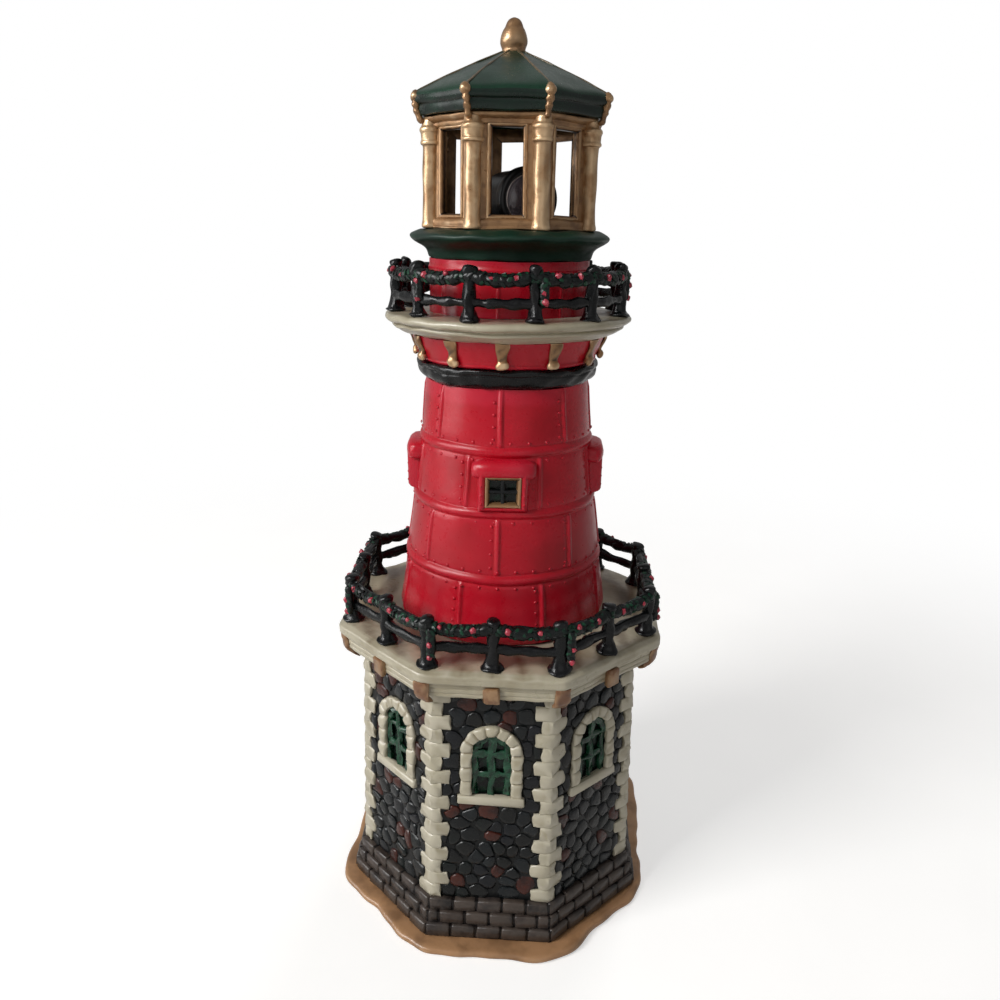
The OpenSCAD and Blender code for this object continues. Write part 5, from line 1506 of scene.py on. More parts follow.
@dataclass
class Tower:
    """The red plated tower and its four small windows."""

    foot_z: float = 96.61
    height: float = 74.7
    foot_r: float = 33.0
    top_r: float = 24.3
    wide_z: float = 3.0
    wall: float = 3.0
    ridges: tuple[float, ...] = (20.1, 39.4, 57.2)
    ridge_out: float = 0.55
    ridge_h: float = 2.2
    turn: float = math.radians(2)
    frame: tuple[float, float] = (10.2, 9.2)
    frame_z: float = 42.0
    frame_bar: float = 1.3
    frame_y: float = 29.7
    boss_y: float = 29.6
    boss_side: float = 1.9
    hood: tuple[float, float] = (18.4, 4.6)
    seam_phase: tuple[float, float] = (math.radians(-90.4), math.radians(-110.5))
    seam_out: float = 0.5
    rivet_r: float = 0.46
    rivet_gap: float = 5.4
    rivet_row: float = 2.5
    rivet_side: float = 2.0
    rivet_end: float = 3.6
    groove: tuple[float, float, float] = (0.16, 1.55, 0.3)
    cross: tuple[float, float, float] = (4.0, 3.5, 28.7)

    def skin(self, z: Array) -> Array:
        """Radius of the plain skin: a straight taper with a slight inward curve, and a rounded
        foot.

        Args:
            z: Heights over the tower's foot.

        Returns:
            The radii.
        """
        t = (z - self.wide_z) / (self.height - self.wide_z)
        taper = self.foot_r + (self.top_r - self.foot_r) * t - 0.55 * np.sin(math.pi * t)
        foot = np.clip(1 - z / self.wide_z, 0, 1)
        return np.where(z < self.wide_z, self.foot_r - 1.3 * foot ** 1.6, taper)

    def band(self, z: Array) -> Array:
        """Number of the plate band at a height, 0 at the bottom."""
        return np.searchsorted(self.ridges, z)

    def swell(self, z: Array, a: Array) -> Array:
        """How far ridges and seams stand out: a flat-topped bell at each ridge with a thin
        second line above it, and a bell at each seam that fades out near the ridges.

        Args:
            z: Heights over the tower's foot.
            a: Angles in radians.

        Returns:
            Distances out from the skin.
        """
        depth, away, width = self.groove
        out = 0 * (z + a)
        gap = np.full_like(z, self.height)
        for ridge in self.ridges:
            d = z - ridge
            out = out + self.ridge_out * np.exp(-(np.abs(d) / (self.ridge_h * 0.48)) ** 3)
            for side in (-1, 1):
                out = out - depth * np.exp(-((d + side * away) / width) ** 2)
            gap = np.minimum(gap, np.abs(d))
        gap = np.minimum(gap, np.minimum(z + 1, self.height + 1 - z))
        phase = np.where(self.band(z) % 2 == 1, self.seam_phase[0], self.seam_phase[1])
        off = (a - phase + TURN / 2) % TURN - TURN / 2
        run = off * self.skin(z)
        seam = np.exp(-(np.abs(run) / 0.62) ** 3) - 0.3 * np.exp(-((run + 1.1) / 0.35) ** 2)
        return out + self.seam_out * seam * np.clip((gap - 1.2) / 1.2, 0, 1)

    def shell(self) -> Shape:
        """The tower: radius as a function of height and angle, closed by an inner wall.

        Returns:
            The shape.
        """
        near = np.array([-1.7, -1.25, -0.95, -0.7, -0.45, -0.2, 0.2, 0.45, 0.7, 0.95, 1.4]) / 29
        seams = [p + k * TURN + near for p in self.seam_phase for k in range(SIDES)]
        a = stations(seams)
        close = np.array([-2.1, -1.8, -1.55, -1.35, -1.15, -0.95, -0.7, -0.35, 0, 0.35, 0.7, 0.95,
                          1.15, 1.35, 1.55, 1.8, 2.1])
        heights = [r + close for r in self.ridges] + [np.arange(4.5, self.height, 2.6),
                                                      [0, 0.4, 1.0, 1.8, 3.0, self.height]]
        z = np.unique(np.round(np.concatenate(heights), 2))[:, None]
        outer = self.skin(z) + self.swell(z, a[None])
        inner_z = np.linspace(self.height, 0, 12)[:, None]
        inner = self.skin(np.maximum(inner_z, self.wide_z)) - self.wall + 0 * a
        radius, level = np.concatenate([outer, inner]), np.concatenate([z, inner_z])
        return Shape.rings(polar(radius, a, level + self.foot_z), wrap=True).lumpy(16, 0.20, 20)

    def rivets(self) -> Shape:
        """Rivet heads: two rows by each ridge, and a column to the left of each seam.

        Returns:
            The shape.
        """
        angles, heights = [], []
        for number, ridge in enumerate(self.ridges):
            for d in (-self.rivet_row, self.rivet_row):
                count = round(2 * math.pi * float(self.skin(np.array(ridge))) / self.rivet_gap)
                angles.append(around(count, 0.5 * (number % 2)))
                heights.append(np.full(count, ridge + d))
        edges = (3.0,) + self.ridges + (self.height,)
        for number in range(4):
            z = np.linspace(edges[number] + self.rivet_end, edges[number + 1] - self.rivet_end, 4)
            phase = self.seam_phase[0 if number % 2 == 1 else 1]
            side = self.rivet_side / float(self.skin(z[1:2])[0])
            seam = phase + np.arange(SIDES) * TURN - side
            angles.append(np.repeat(seam, len(z)))
            heights.append(np.tile(z, SIDES))
        a, z = np.concatenate(angles), np.concatenate(heights)
        off = (a - self.turn + math.pi / 4) % (math.pi / 2) - math.pi / 4
        boxed = (np.abs(off) < 0.31) & (z > self.frame_z - 2) & (z < self.frame_z + 15)
        a, z = a[~boxed], z[~boxed]
        out, r = face_at(a), self.skin(z) + self.swell(z, a)
        centre = out * r[:, None] + (z + self.foot_z)[:, None] * UP
        heads = domes(centre, out, self.rivet_r, 0.26)
        spots = np.array([(x, self.boss_y + 0.05, h) for x in (-6.15, 6.15)
                          for h in (1.0, 3.6, 6.2)])
        centre = self.at_windows(spots, self.frame_z)
        face = face_at(self.windows())[:, None] + 0 * centre
        small = domes(centre.reshape(-1, 3), face.reshape(-1, 3), 0.4, 0.22)
        # Painted shade round each rivet's foot, and a painted highlight on its crown.
        return Shape.join([Shape.rings(heads, dip=np.array([0.5, 0, -0.2])[:, None]),
                           Shape.rings(small)])

    def windows(self) -> Array:
        """Angles of the four windows, the front one first."""
        return self.turn + np.arange(4) * math.pi / 2 - math.pi / 2

    def at_windows(self, rings: Array, lift: float) -> Array:
        """Copies rings of (x, out, z) to the four windows, z being over lift on the tower."""
        return on_faces(rings, self.windows(), lift + self.foot_z)

    def bosses(self) -> Shape:
        """Raised surrounds: a mitred ring round each frame, and a rounded hood over it.

        The hood's top falls and its face draws back towards its ends by the square of x.

        Returns:
            The shape.
        """
        half = (self.frame[0] / 2, self.frame[1] / 2)
        side, foot = self.boss_side, 1.4
        rows = soften([
            (0, 0, 25.0), (0, 0, self.boss_y - 0.3), (0.2, 0.2, self.boss_y),
            (0.9, 0.7, self.boss_y + 0.3), (side - 0.4, foot - 0.3, self.boss_y + 0.1),
            (side, foot, self.boss_y - 0.6), (side + 0.35, foot + 0.3, 27.6),
            (side + 0.4, foot + 0.4, 25.0)], 1, True)
        ring = window_ring(half, rows)
        low = np.clip((-ring[..., 2] - half[1] + 0.3) / 2.0, 0, 1) * (ring[..., 1] > 26)
        ring[..., 1] -= 1.1 * low ** 1.5
        surround = Shape.rings(self.at_windows(ring, self.frame_z + half[1]), wrap=True)
        wide, tall = self.hood
        a = around(28, 0.5)
        b = np.radians([-80, -62, -42, -20, 0, 20, 42, 62, 80])[:, None]

        def block(v: Array, power: float) -> Array:
            """The sine or cosine v pressed outwards towards a box."""
            return np.sign(v) * np.abs(v) ** power

        x = block(np.cos(b), 0.25) * block(np.cos(a), 0.4) * wide / 2
        y = block(np.cos(b), 0.25) * block(np.sin(a), 0.4)
        z = block(np.sin(b), 0.6) * np.ones_like(a)
        share = (2 * x / wide) ** 2
        front = self.boss_y + 1.0 - 1.3 * share - np.clip(z, 0, 1) ** 2 * 1.2
        out = np.where(y > 0, (front - 26) * y + 26, 26 + y * 2)
        level = (z + 1) / 2 * (tall + 0.4 * (1 - share)) - 0.4
        level = level - 1.1 * share + 0.6 * share * (z > 0)
        hood = np.stack([x, out, level], -1)
        hood = Shape.rings(self.at_windows(hood, self.frame_z + self.frame[1]))
        return Shape.join([surround, hood]).lumpy(6, 0.14, 21)

    def gilt(self) -> Shape:
        """Gilt frames with a bevel towards the opening.

        Returns:
            The shape.
        """
        bar = self.frame_bar
        half = (self.frame[0] / 2 - bar, self.frame[1] / 2 - bar)
        y = self.frame_y
        rows = soften([
            (0, 0, y - 2.2), (0, 0, y - 1.2), (0.25, 0.25, y - 0.45), (0.7, 0.7, y + 0.1),
            (1.15, 1.15, y + 0.05), (1.4, 1.4, y - 0.4), (1.4, 1.4, y - 2.2)], 1, True)
        ring = window_ring(half, rows, 0.35)
        shape = Shape.rings(self.at_windows(ring, self.frame_z + self.frame[1] / 2), wrap=True)
        return shape.lumpy(3.2, 0.14, 22)

    def grilles(self) -> Shape:
        """A thick black cross in each frame.

        Returns:
            The shape.
        """
        wide, tall, away = self.cross
        thin, deep = oval(0.62, 0.5, 8, 0.9).T
        t = np.linspace(-1, 1, 7)[:, None]
        across = np.stack([t * wide + 0 * thin, away + 0.05 + deep + 0 * t, thin + 0 * t], -1)
        upright = np.stack([thin + 0 * t, away + deep + 0 * t, t * tall + 0 * thin], -1)
        lift = self.frame_z + self.frame[1] / 2
        shapes = [Shape.rings(self.at_windows(v, lift)) for v in (across, upright)]
        return Shape.join(shapes).lumpy(2.4, 0.2, 23)

    def build(self) -> None:
        """Adds the shell, rivets, surrounds, frames and crosses."""
        add_piece("tower_plates", Shape.join([self.shell(), self.bosses()]), "red",
                  ["tower_shell"], reach=0.16)
        add_piece("tower_rivets", self.rivets(), "red", reach=0.4)
        add_piece("gilt_frames", self.gilt(), "gold", ["square_frames"], reach=0.3)
        add_piece("window_crosses", self.grilles(), "rail", ["square_grilles"], reach=0.5)


@dataclass
class Gallery:
    """Black ring, red flare, gilt brackets and the cream gallery."""

    ring_z: float = 171.31
    flare_z: float = 177.01
    deck_z: float = 184.61
    brackets: int = 12

    def ring(self) -> Shape:
        """The ring: a thick lower band, a groove and a wider lip, turned about the axis.

        Returns:
            The shape.
        """
        rows = [
            (21.4, 0), (24.2, 0), (25.1, 0.3), (25.9, 1.1), (26.5, 2.2), (26.9, 3.3),
            (26.75, 3.75), (27.2, 4.1), (27.25, 4.8), (26.9, 5.3), (26.2, 5.65), (21.4, 5.7)]
        return turned_piece(rows, self.ring_z).lumpy(5, 0.42, 30)

    def flare(self) -> Shape:
        """The red cone, with a raised line near its foot.

        Returns:
            The shape.
        """
        rows = [(21.6, 0), (25.9, 0), (26.35, 0.5), (26.45, 0.9), (26.3, 1.3),
                (27.6, 4.4), (28.7, 7.3), (28.8, 7.6), (21.6, 7.6)]
        return turned_piece(rows, self.flare_z, 1).lumpy(9, 0.12, 31)

    def scrolls(self) -> Shape:
        """Brackets: an oval section carried down the flare's face, wide at the leaf on top,
        narrow at the waist, and rolled into a scroll at the foot.

        Returns:
            The shape.
        """
        path = soften([(29.1, 7.6), (28.9, 6.4), (28.2, 4.9), (27.6, 3.7), (27.5, 2.9),
                       (27.7, 2.2), (27.6, 1.3), (27.1, 0.7)], 1)
        t = np.linspace(0, 1, len(path))
        wide = np.interp(t, [0, 0.14, 0.3, 0.55, 0.68, 0.76, 0.9, 1],
                         [2.1, 2.0, 1.55, 1.35, 1.4, 1.8, 1.8, 1.3])
        thick = np.interp(t, [0, 0.25, 0.6, 0.76, 0.9, 1], [0.6, 0.7, 0.7, 1.15, 1.1, 0.5])
        # Darker up the leaf and the stem; below zero at the scroll foot it paints a highlight
        # there.
        hollow_share = np.interp(t, [0, 0.2, 0.5, 0.68, 0.76, 1], [0.3, 0.6, 0.6, 0.35, -0.4, -0.1])
        stack = straps(path, wide, thick, around(self.brackets), self.flare_z)
        return Shape.rings(stack, dip=hollow_share[:, None]).lumpy(2.6, 0.16, 32)

    def deck(self) -> Shape:
        """The gallery: a coved underside, a bead, a groove and a rounded rim.

        Returns:
            The shape.
        """
        rows = [
            (18.3, 0), (29.6, 0.05), (31.2, 0.55), (32.6, 1.2), (33.2, 1.75), (33.9, 1.95),
            (34.35, 2.4), (34.3, 2.95), (33.95, 3.25), (34.5, 3.5), (35.5, 3.65), (36.2, 4.1),
            (36.4, 4.8), (36.1, 5.45), (35.4, 5.85), (34.0, 6.0), (18.3, 6.0)]
        return turned_piece(rows, self.deck_z).lumpy(10, 0.22, 33)

    def build(self) -> None:
        """Adds the four pieces."""
        add_piece("black_ring", self.ring(), "black", ["ring_moulding"], reach=0.25)
        add_piece("red_flare", self.flare(), "red", ["gallery_flare"], reach=0.16)
        add_piece("gilt_scrolls", self.scrolls(), "gold", ["gallery_brackets"], reach=0.35)
        add_piece("gallery_slab", self.deck(), "cream", ["gallery_deck"], reach=0.22)


@dataclass
class Lantern:
    """Red drum, green collar and the gilt cage round the lamp."""

    drum_z: float = 190.61
    drum_r: float = 23.3
    collar_z: float = 205.51
    cage_z: float = 213.61
    cage_r: float = 23.6
    wall: float = 2.0
    window: tuple[float, float] = (8.0, 21.2)
    sill_h: float = 3.9
    column_at: float = 23.5
    rivets: int = 32
    rivet_z: float = 10.6
    rivet_turn: float = 0.05

    def drum(self) -> Shape:
        """The drum, its upright seams (a bell at every eighth of a turn) and its rivets.

        Returns:
            The shape.
        """
        near = np.array([-1.2, -0.8, -0.5, -0.25, 0.0, 0.25, 0.5, 0.8, 1.2]) / self.drum_r
        seams = np.arange(SIDES) * TURN + math.radians(-94)
        a = stations([(seams[:, None] + near).ravel()])
        off = (a - seams[0] + TURN / 2) % TURN - TURN / 2
        bell = 0.3 * np.exp(-(off * self.drum_r / 0.5) ** 2)
        z = np.array([0, 0.5, 2, 4, 6, 8, 10, 11.6, 12.1, 12.5, 12.9, 13.4, 14.2, 14.9])[:, None]
        ridge = 0.35 * np.exp(-((z - 12.5) / 0.5) ** 2)
        outer = self.drum_r + bell * (z < 11.8) + ridge
        inner_z = np.array([14.9, 10, 5, 0.0])[:, None]
        radius = np.concatenate([outer, self.drum_r - 3 + 0 * inner_z + 0 * a])
        level = np.concatenate([z, inner_z]) + self.drum_z
        shell = Shape.rings(polar(radius, a, level), wrap=True).lumpy(12, 0.12, 40)
        out = face_at(around(self.rivets) + self.rivet_turn)
        centre = out * self.drum_r + UP * (self.drum_z + self.rivet_z)
        return Shape.join([shell, Shape.rings(domes(centre, out, 0.42, 0.32))])

    def collar(self) -> Shape:
        """The collar: a cove that spreads to a rounded lip, with a seat for the floor inside.

        Returns:
            The shape.
        """
        rows = [
            (18.3, 0), (23.3, 0), (23.75, 0.5), (23.95, 1.3), (24.3, 2.3), (25.1, 3.2),
            (26.4, 4.0), (27.7, 4.7), (28.6, 5.4), (28.9, 6.1), (28.5, 6.7), (27.5, 7.2),
            (26.3, 7.75), (25.2, 8.1), (20.1, 8.1), (20.1, 4.0), (18.3, 4.0)]
        return turned_piece(rows, self.collar_z).lumpy(9, 0.22, 41)

    def panels(self) -> Shape:
        """Eight gilt walls, each a mitred frame round its window, with a stepped inner edge.

        Returns:
            The shape.
        """
        half = (self.window[0] / 2, self.window[1] / 2)
        wide = self.cage_r * math.sin(TURN / 2) - half[0] - 0.3
        up = self.sill_h - 0.2
        rows = soften([
            (0, 0, -self.wall), (0, 0, -0.9), (0.05, 0.05, -0.2), (0.35, 0.35, 0.28),
            (0.95, 0.8, 0.32), (1.2, 1.05, 0.1), (1.3, 1.2, -0.22), (2.2, 2.0, -0.12),
            (wide, up, -0.05), (wide, up, -self.wall)], 1, True)
        ring = window_ring(half, rows)
        ring[..., 1] += self.cage_r * FLAT
        stack = on_faces(ring, wall_angles(), self.cage_z + self.sill_h + half[1])
        # Painted shade on the panels' inner faces, inside the lantern.
        inside = np.clip(-0.5 - ring[..., 1] + self.cage_r * FLAT, 0, 0.9)
        return Shape.rings(stack, wrap=True, dip=inside)

    def bands(self) -> Shape:
        """The sill band and the frieze, carried round the octagon.

        Returns:
            The shape.
        """
        r = self.cage_r
        sill = soften([
            (21.5, 0, 0), (24.6, 0, 0), (24.75, 0.45, 0), (24.4, 0.9, 0), (24.45, 1.2, 0),
            (24.5, 1.9, 0), (24.2, 2.5, 0), (r - 0.1, 2.9, 0), (21.5, 2.9, 0)], 2, True)
        frieze = soften([
            (21.5, 25.7, 0), (r, 25.7, 0), (24.1, 26.0, 0), (24.3, 26.6, 0), (24.2, 27.0, 0),
            (24.9, 27.3, 0), (25.6, 27.9, 0), (25.7, 28.4, 0), (25.3, 28.75, 0),
            (21.5, 28.75, 0)], 2, True)
        shift = np.array([0, self.cage_z, 0])
        return Shape.join([Shape.rings(octagon_rings(v + shift, 12, 90), wrap=True)
                           for v in (sill, frieze)])

    def columns(self) -> Shape:
        """Corner columns with thick rounded capitals, turned on a lathe.

        Returns:
            The shape.
        """
        rows = soften([
            (0.8, 0), (2.5, 0), (2.6, 0.9), (2.3, 1.8), (2.2, 4), (2.2, 12), (2.15, 20.6),
            (2.25, 21.5), (2.8, 21.75), (2.86, 22.35), (2.55, 22.8), (2.6, 23.6), (2.7, 24.6),
            (3.0, 25.0), (3.0, 25.7), (2.5, 26.2), (2.3, 26.9), (2.25, 28.0), (0.8, 28.6)], 2)
        one = lathe(rows + np.array([0, self.cage_z]), 18)
        out = face_at(wall_angles(TURN / 2))
        return Shape.rings(one[None] + (out * self.column_at)[:, None, None]).lumpy(6, 0.15, 43)

    def build(self) -> None:
        """Adds the drum, the collar, the cage and the columns."""
        add_piece("red_drum", self.drum(), "red", ["upper_drum"], reach=0.16)
        add_piece("green_collar", self.collar(), "collar", ["lantern_collar"], reach=0.25)
        cage = Shape.join([self.panels(), self.bands()]).lumpy(6, 0.16, 42)
        add_piece("gilt_cage", cage, "gold", ["lantern_cage"], reach=0.2)
        add_piece("gilt_columns", self.columns(), "gold", ["lantern_columns"], reach=0.3)


@dataclass
class Roof:
    """The green roof with its ridges, corner drops and finial."""

    foot_z: float = 242.31
    fascia_h: float = 5.8
    rise: float = 11.6
    edge_r: float = 28.3
    finial_h: float = 8.3

    def cover(self) -> Shape:
        """The roof: two fascia steps and the pitch, carried round the octagon, with the
        hollow underside inside them.

        Returns:
            The shape.
        """
        top = self.fascia_h + self.rise
        rows = soften([
            (21.4, 0, 0), (26.2, 0, 0), (26.9, 0.2, 0), (27.2, 0.9, 0), (27.45, 2.2, 0),
            (27.3, 2.6, 0), (27.9, 2.95, 0), (28.35, 3.5, 0), (28.45, 4.4, 0), (28.25, 5.2, 0),
            (27.6, 5.9, 0), (26.2, 6.75, 0), (23.5, 8.1, 0), (18, 10.75, 0), (11, 13.95, 0),
            (4.2, 16.9, 0), (3.2, top, 0), (1.4, top - 0.2, 0), (1.4, top - 3, 0),
            (12, 9.7, 0), (21.4, 5.6, 0)], 2, True)
        stack = octagon_rings(rows + np.array([0, self.foot_z, 0]), 14, 110)
        shade = 0.7 * (rows[:, 1:2] < 4.9)
        return Shape.rings(stack, wrap=True, dip=shade).lumpy(9, 0.16, 50)

    def ridges(self) -> Shape:
        """Thin ridges on the eight corners of the pitch.

        Returns:
            The shape.
        """
        path = np.array([(28.2, 5.0), (27.4, 6.1), (26.1, 6.85), (23.5, 8.15), (18, 10.8),
                         (11, 14.0), (3.6, 17.2)])
        t = np.linspace(0, len(path) - 1, 20)
        path = np.stack([np.interp(t, np.arange(len(path)), path[:, n]) for n in (0, 1)], -1)
        side, out = (v[:, None] for v in frames(wall_angles(TURN / 2)))
        centre = out * (path[:, :1] - 0.42) + UP * (path[:, 1:] + self.foot_z)
        stack = sweep(centre, side, out * 0.42 + UP * 0.9, oval(0.42, 0.36, 8, 1.0))
        return Shape.rings(stack).lumpy(6, 0.08, 51)

    def drops(self) -> Shape:
        """Corner drops: four beads in a chain, as the outline of four balls in a row, drawn
        in towards the capital below.

        Returns:
            The shape.
        """
        radii = np.array([1.4, 1.12, 1.08, 1.0])
        level = -1.1 - 1.9 * np.arange(4)
        z = np.linspace(0.6, -7.6, 40)
        reach = np.sqrt(np.maximum(radii[:, None] ** 2 - (z - level[:, None]) ** 2, 0)).max(0)
        r = np.maximum(reach, np.interp(z, [-7.6, -7.0, 0.2, 0.6], [0.2, 0.85, 0.8, 0.2]))
        one = lathe(np.stack([r, z + self.foot_z + self.fascia_h], -1), 12)
        inward = (0.55 + 0.045 * np.minimum(z + 1.1, 0) ** 2)[:, None, None]
        out = face_at(wall_angles(TURN / 2))
        place = out[:, None, None] * (self.edge_r - 0.1 - inward)[None]
        # Darker towards the bottom of each chain.
        hollow_share = np.interp(z, [-7.6, -2.5, 0], [0.45, 0.35, 0.1])[:, None]
        return Shape.rings(one[None] + place, dip=hollow_share).lumpy(2.2, 0.18, 52)

    def finial(self) -> Shape:
        """The bud on top, turned on a lathe.

        Returns:
            The shape.
        """
        h, z0 = self.finial_h, self.foot_z + self.fascia_h + self.rise
        rows = soften([
            (2.0, -0.6), (3.0, -0.5), (3.15, 0.1), (3.1, 0.5), (3.35, 1.1), (3.75, 2.0),
            (3.8, 3.0), (3.45, 4.3), (3.0, 5.2), (2.5, 5.85), (2.25, 6.5), (1.95, 7.2), (1.4, 7.9),
            (0.4, h)], 2)
        stack = lathe(rows + np.array([0, z0]), 32)
        return Shape.rings(stack).lumpy(4.0, 0.12, 53)

    def build(self) -> None:
        """Adds the roof, its ridges, its drops and the finial."""
        add_piece("green_roof", self.cover(), "green", ["roof"], reach=0.25)
        add_piece("roof_ridges", self.ridges(), "ridge", reach=0.5)
        add_piece("corner_drops", self.drops(), "gold", ["roof_beads"], reach=0.3)
        add_piece("gilt_bud", self.finial(), "gold", ["finial"], reach=0.3)


@dataclass
class Beacon:
    """The turning lamp: barrel and bezel about its own axis."""

    axis_z: float = 221.61
    stem_z: float = 212.81
    heading: float = math.radians(-65)
    barrel_r: float = 7.9
    front: float = 12.3
    back: float = -8.0
    bezel_r: float = 8.6
    lens_r: float = 6.6

    def turned(self, rows: Array, wrap: bool = True) -> Shape:
        """A profile of (radius, distance along the lamp) turned about the lamp's own axis.

        Args:
            rows: The profile.
            wrap: Whether it is closed.

        Returns:
            The shape, at the lamp's heading and level.
        """
        c, s = math.cos(self.heading), math.sin(self.heading)
        shape = Shape.rings(lathe(rows, 72), wrap=wrap)
        shape.points = shape.points @ np.array([[0, 0, -1], [-s, c, 0], [c, s, 0]])
        shape.points[:, 2] += self.axis_z
        return shape

    def barrel(self) -> Shape:
        """The barrel: a domed back and a straight side, with its inner wall, and the stem.

        Returns:
            The shape.
        """
        r, wall = self.barrel_r, 0.9
        rows = soften([
            (0.4, self.back), (4.2, self.back + 0.15), (6.6, self.back + 1.2),
            (7.6, self.back + 2.8), (r, self.back + 5), (r, 2.0), (r, 8.0), (r, self.front),
            (r - wall, self.front), (r - wall, 2.0), (r - wall - 0.2, self.back + 3.2),
            (0.4, self.back + 2.2)], 2)
        stem = [(1.6, 0), (3.2, 0), (3.25, 0.6), (2.9, 1.4), (2.9, 2.6), (1.6, 3.0)]
        return Shape.join([self.turned(rows, False), turned_piece(stem, self.stem_z, 1, 32)])

    def bezel(self) -> Shape:
        """The bezel: a thick rounded ring that holds the lens.

        Returns:
            The shape.
        """
        r, lip = self.bezel_r, self.front + 1.2
        rows = soften([
            (self.barrel_r - 0.1, lip - 3.4), (r - 0.1, lip - 3.4), (r, lip - 2.9), (r, lip - 0.6),
            (r - 0.35, lip - 0.05), (self.lens_r + 0.5, lip), (self.lens_r, lip - 0.4),
            (self.lens_r, lip - 1.15), (self.barrel_r - 0.1, lip - 1.3)], 1, True)
        return self.turned(rows)

    def rim(self) -> Shape:
        """The bright thin ring inside the bezel: an oval section turned about the lamp's axis."""
        rows = oval(0.26, 0.3, 8, 1.0) + np.array([self.lens_r - 0.12, self.front + 0.75])
        return self.turned(rows)

    def build(self) -> None:
        """Adds the barrel, the bezel and its rim; the CAD lens, reflector and bulb stay."""
        add_piece("lamp_barrel", self.barrel(), "dark_plastic", ["beacon_barrel"], Body.BEACON)
        add_piece("lamp_bezel", self.bezel(), "dark_plastic", ["beacon_bezel"], Body.BEACON)
        add_piece("lens_rim", self.rim(), "silver", body=Body.BEACON)


@dataclass
class Works:
    """The CAD nodes that stay: each gets the finish of its record slot."""

    plain: str = "dark_plastic"

    def build(self) -> None:
        """Dresses every CAD node."""
        first: dict[str, str] = {}
        for key, finish in FINISHES.items():
            first.setdefault(finish.slot.value, key)
        slots = {part["node"]: part["material_slot"] for part in frame["record"]["subparts"]}
        for name, obj in frame["nodes"].items():
            key = NODE_FINISH.get(name, first.get(slots.get(name, ""), self.plain))
            obj.data.materials.clear()
            obj.data.materials.append(material(key))
        log.info("dressed %d carried-over nodes", len(frame["nodes"]))


def set_down(obj: bpy.types.Object, axes: Sequence[Array], place: Any) -> None:
    """Links a camera or light to the scene.

    Args:
        obj: The object.
        axes: Directions of its own X, Y and Z.
        place: Its place, in metres.
    """
    rows = np.stack([*axes, np.asarray(place, float)], 1)
    obj.matrix_world = Matrix([list(row) for row in rows] + [[0, 0, 0, 1]])
    bpy.context.scene.collection.objects.link(obj)


@dataclass(frozen=True)
class Lamp:
    """A square area light that looks at the middle of the object.

    place and size are in metres, and watts is its power. mirrored says whether glossy surfaces
    show it, and lights whether it lights matt ones.
    """

    name: str
    place: tuple[float, float, float]
    size: float
    watts: float
    mirrored: bool = True
    lights: bool = True
    aim: tuple[float, float, float] = (0.0, 0.0, 0.14)

    def build(self) -> None:
        """Adds the light."""
        data = bpy.data.lights.new(self.name, "AREA")
        data.size, data.energy = self.size, self.watts
        obj = bpy.data.objects.new(self.name, data)
        obj.visible_glossy, obj.visible_diffuse = self.mirrored, self.lights
        away = np.array(self.place) - np.array(self.aim)
        away /= np.linalg.norm(away)
        side = np.cross(UP, away)
        side /= np.linalg.norm(side)
        set_down(obj, (side, np.cross(away, side), away), self.place)


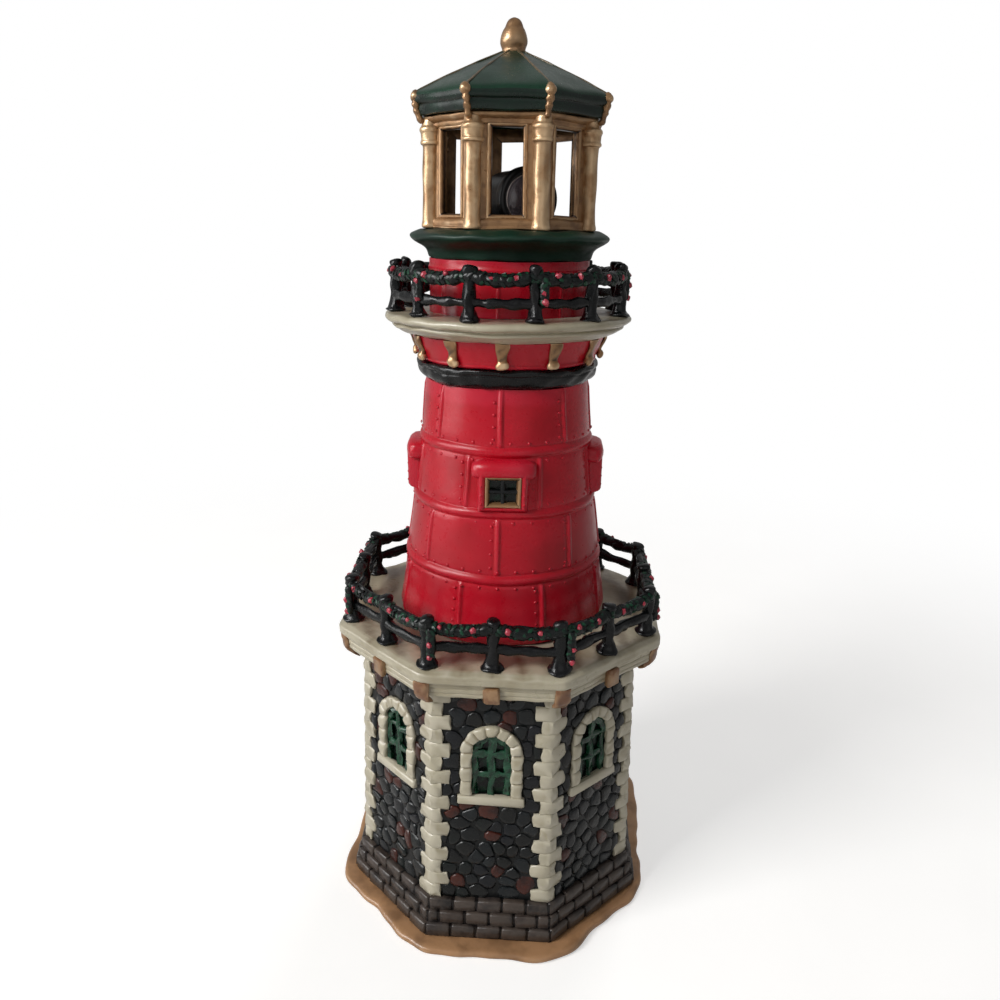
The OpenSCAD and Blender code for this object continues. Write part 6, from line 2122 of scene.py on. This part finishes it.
@dataclass
class Studio:
    """Camera, lights, floor and surroundings."""

    focal_px: float = 850.0
    frame_px: float = 1000.0
    distance: float = 257.7
    height: float = 214.7
    pitch: float = math.radians(17.89)
    roll: float = math.radians(1.13)
    yaw: float = math.radians(-0.3)
    azimuth: float = math.radians(2.78)
    soft_sky: float = 0.17
    floor_glow: float = 0.50
    mirror_share: float = 0.22
    floor_reach: float = 6.0
    lamps: tuple[Lamp, ...] = (
        Lamp("key", (-0.85, -0.62, 0.80), 0.50, 13.2),
        Lamp("fill", (0.35, -1.15, 0.55), 0.8, 1.0),
        Lamp("rear", (0.35, 1.05, 0.80), 0.45, 4.2, mirrored=False),
        Lamp("window", (-1.15, -0.30, 0.42), 0.7, 9.0, lights=False))

    def camera(self) -> None:
        """Places the camera where the photograph was taken from."""
        a, q, r, y = self.azimuth, self.pitch, self.roll, self.yaw
        place = np.array([self.distance * math.sin(a), -self.distance * math.cos(a), self.height])
        ahead = np.array([-math.sin(a), math.cos(a), 0])
        right = np.array([math.cos(a), math.sin(a), 0])
        ahead, right = (ahead * math.cos(y) + right * math.sin(y),
                        right * math.cos(y) - ahead * math.sin(y))
        look = ahead * math.cos(q) - UP * math.sin(q)
        rise = UP * math.cos(q) + ahead * math.sin(q)
        across = right * math.cos(r) + rise * math.sin(r)
        upward = rise * math.cos(r) - right * math.sin(r)
        data = bpy.data.cameras.new("camera")
        data.sensor_width = 36.0
        data.lens = 36.0 * self.focal_px / self.frame_px
        data.clip_start = 0.01
        obj = bpy.data.objects.new("camera", data)
        set_down(obj, (across, upward, -look), place * MM)
        bpy.context.scene.camera = obj

    def seen(self, tree: Tree) -> Sock:
        """How white a ray sees the background: 1 for rays from the camera or through glass, and
        a share of it for mirrored ones.

        Args:
            tree: Tree of the floor or the world.

        Returns:
            The factor.
        """
        path = tree.node("LightPath")
        seen = tree.out(path, "Is Camera Ray").most(tree.out(path, "Is Transmission Ray"))
        return seen.most(tree.out(path, "Is Glossy Ray") * self.mirror_share)

    def floor(self) -> None:
        """A pale floor that keeps the shadow and looks white to the camera."""
        mesh = bpy.data.meshes.new("floor")
        far = self.floor_reach
        mesh.from_pydata([(-far, -far, 0), (far, -far, 0), (far, far, 0), (-far, far, 0)], [],
                         [(0, 1, 2, 3)])
        tree = Tree(bpy.data.materials.new("floor_paint"))
        pale = tree.mix(tree.noise(40.0), srgb(222, 220, 217), srgb(214, 212, 209))
        diffuse = tree.out(tree.node("BsdfDiffuse", {}, {"Color": pale}))
        glow, white = (tree.out(tree.node("Emission", {}, {"Color": WHITE, "Strength": strength}))
                       for strength in (self.floor_glow, 1.0))
        both = tree.out(tree.node("AddShader", {}, {0: diffuse, 1: glow}))
        away = tree.node("VectorMath", {"operation": "LENGTH"}, {0: tree.place()})
        reach = tree.out(away, "Value").ramp(0.18, 0.55)
        seen_floor = tree.out(tree.node("MixShader", {}, {0: reach, 1: both, 2: white}))
        shader = tree.node("MixShader", {}, {0: self.seen(tree), 1: diffuse, 2: seen_floor})
        mesh.materials.append(tree.finish(tree.out(shader)))
        obj = bpy.data.objects.new("floor", mesh)
        bpy.context.scene.collection.objects.link(obj)

    def world(self) -> None:
        """Soft even light, with white behind the object."""
        world = bpy.data.worlds.new("surroundings")
        bpy.context.scene.world = world
        tree = Tree(world)
        soft, white = (
            tree.out(tree.node("Background", {}, {"Color": WHITE, "Strength": strength}))
            for strength in (self.soft_sky, 1.0))
        mix = tree.node("MixShader", {}, {0: self.seen(tree), 1: soft, 2: white})
        tree.finish(tree.out(mix))

    def build(self) -> None:
        """Sets up the whole studio."""
        bpy.context.scene.view_settings.view_transform = "Standard"
        self.camera()
        for lamp in self.lamps:
            lamp.build()
        self.floor()
        self.world()


def main() -> None:
    """Builds the sub-assemblies in order and reports each piece."""
    logging.basicConfig(level=logging.INFO, format="%(name)s: %(message)s", force=True)
    Studio().build()
    Works().build()
    lower = Railing("lower", base_z=96.61, corner_r=49.6, eight_sided=True, posts=16,
                    phase=-math.pi / 2, post=(1.75, 3.1, 15.2), bar_r=1.25, bar_z=(6.0, 11.7),
                    garland_r=2.0, sag=1.3, out_up=(0.3, 0.9), tails=8,
                    tail_phase=math.radians(-67.5), tail_shift=2.4, tail_drop=7.5,
                    berries=(0.24, 0.7), nodes=("lower_railing", "lower_garland"), seed=60)
    upper = Railing("upper", base_z=190.61, corner_r=33.1, eight_sided=False, posts=12,
                    phase=math.radians(15), post=(1.6, 2.6, 14.5), bar_r=1.05, bar_z=(4.9, 11.2),
                    garland_r=2.0, sag=1.0, out_up=(0.25, 0.4), tails=6,
                    tail_phase=math.radians(-75), tail_shift=2.0, tail_drop=6.0,
                    berries=(0.28, 0.68), nodes=("upper_railing", "upper_garland"), seed=61)
    for part in (Ground(), StoneHouse(), Deck(), lower, Tower(), Gallery(), upper, Lantern(),
                 Roof(), Beacon()):
        log.info("building %s", type(part).__name__)
        part.build()


if __name__ == "__main__":
    main()
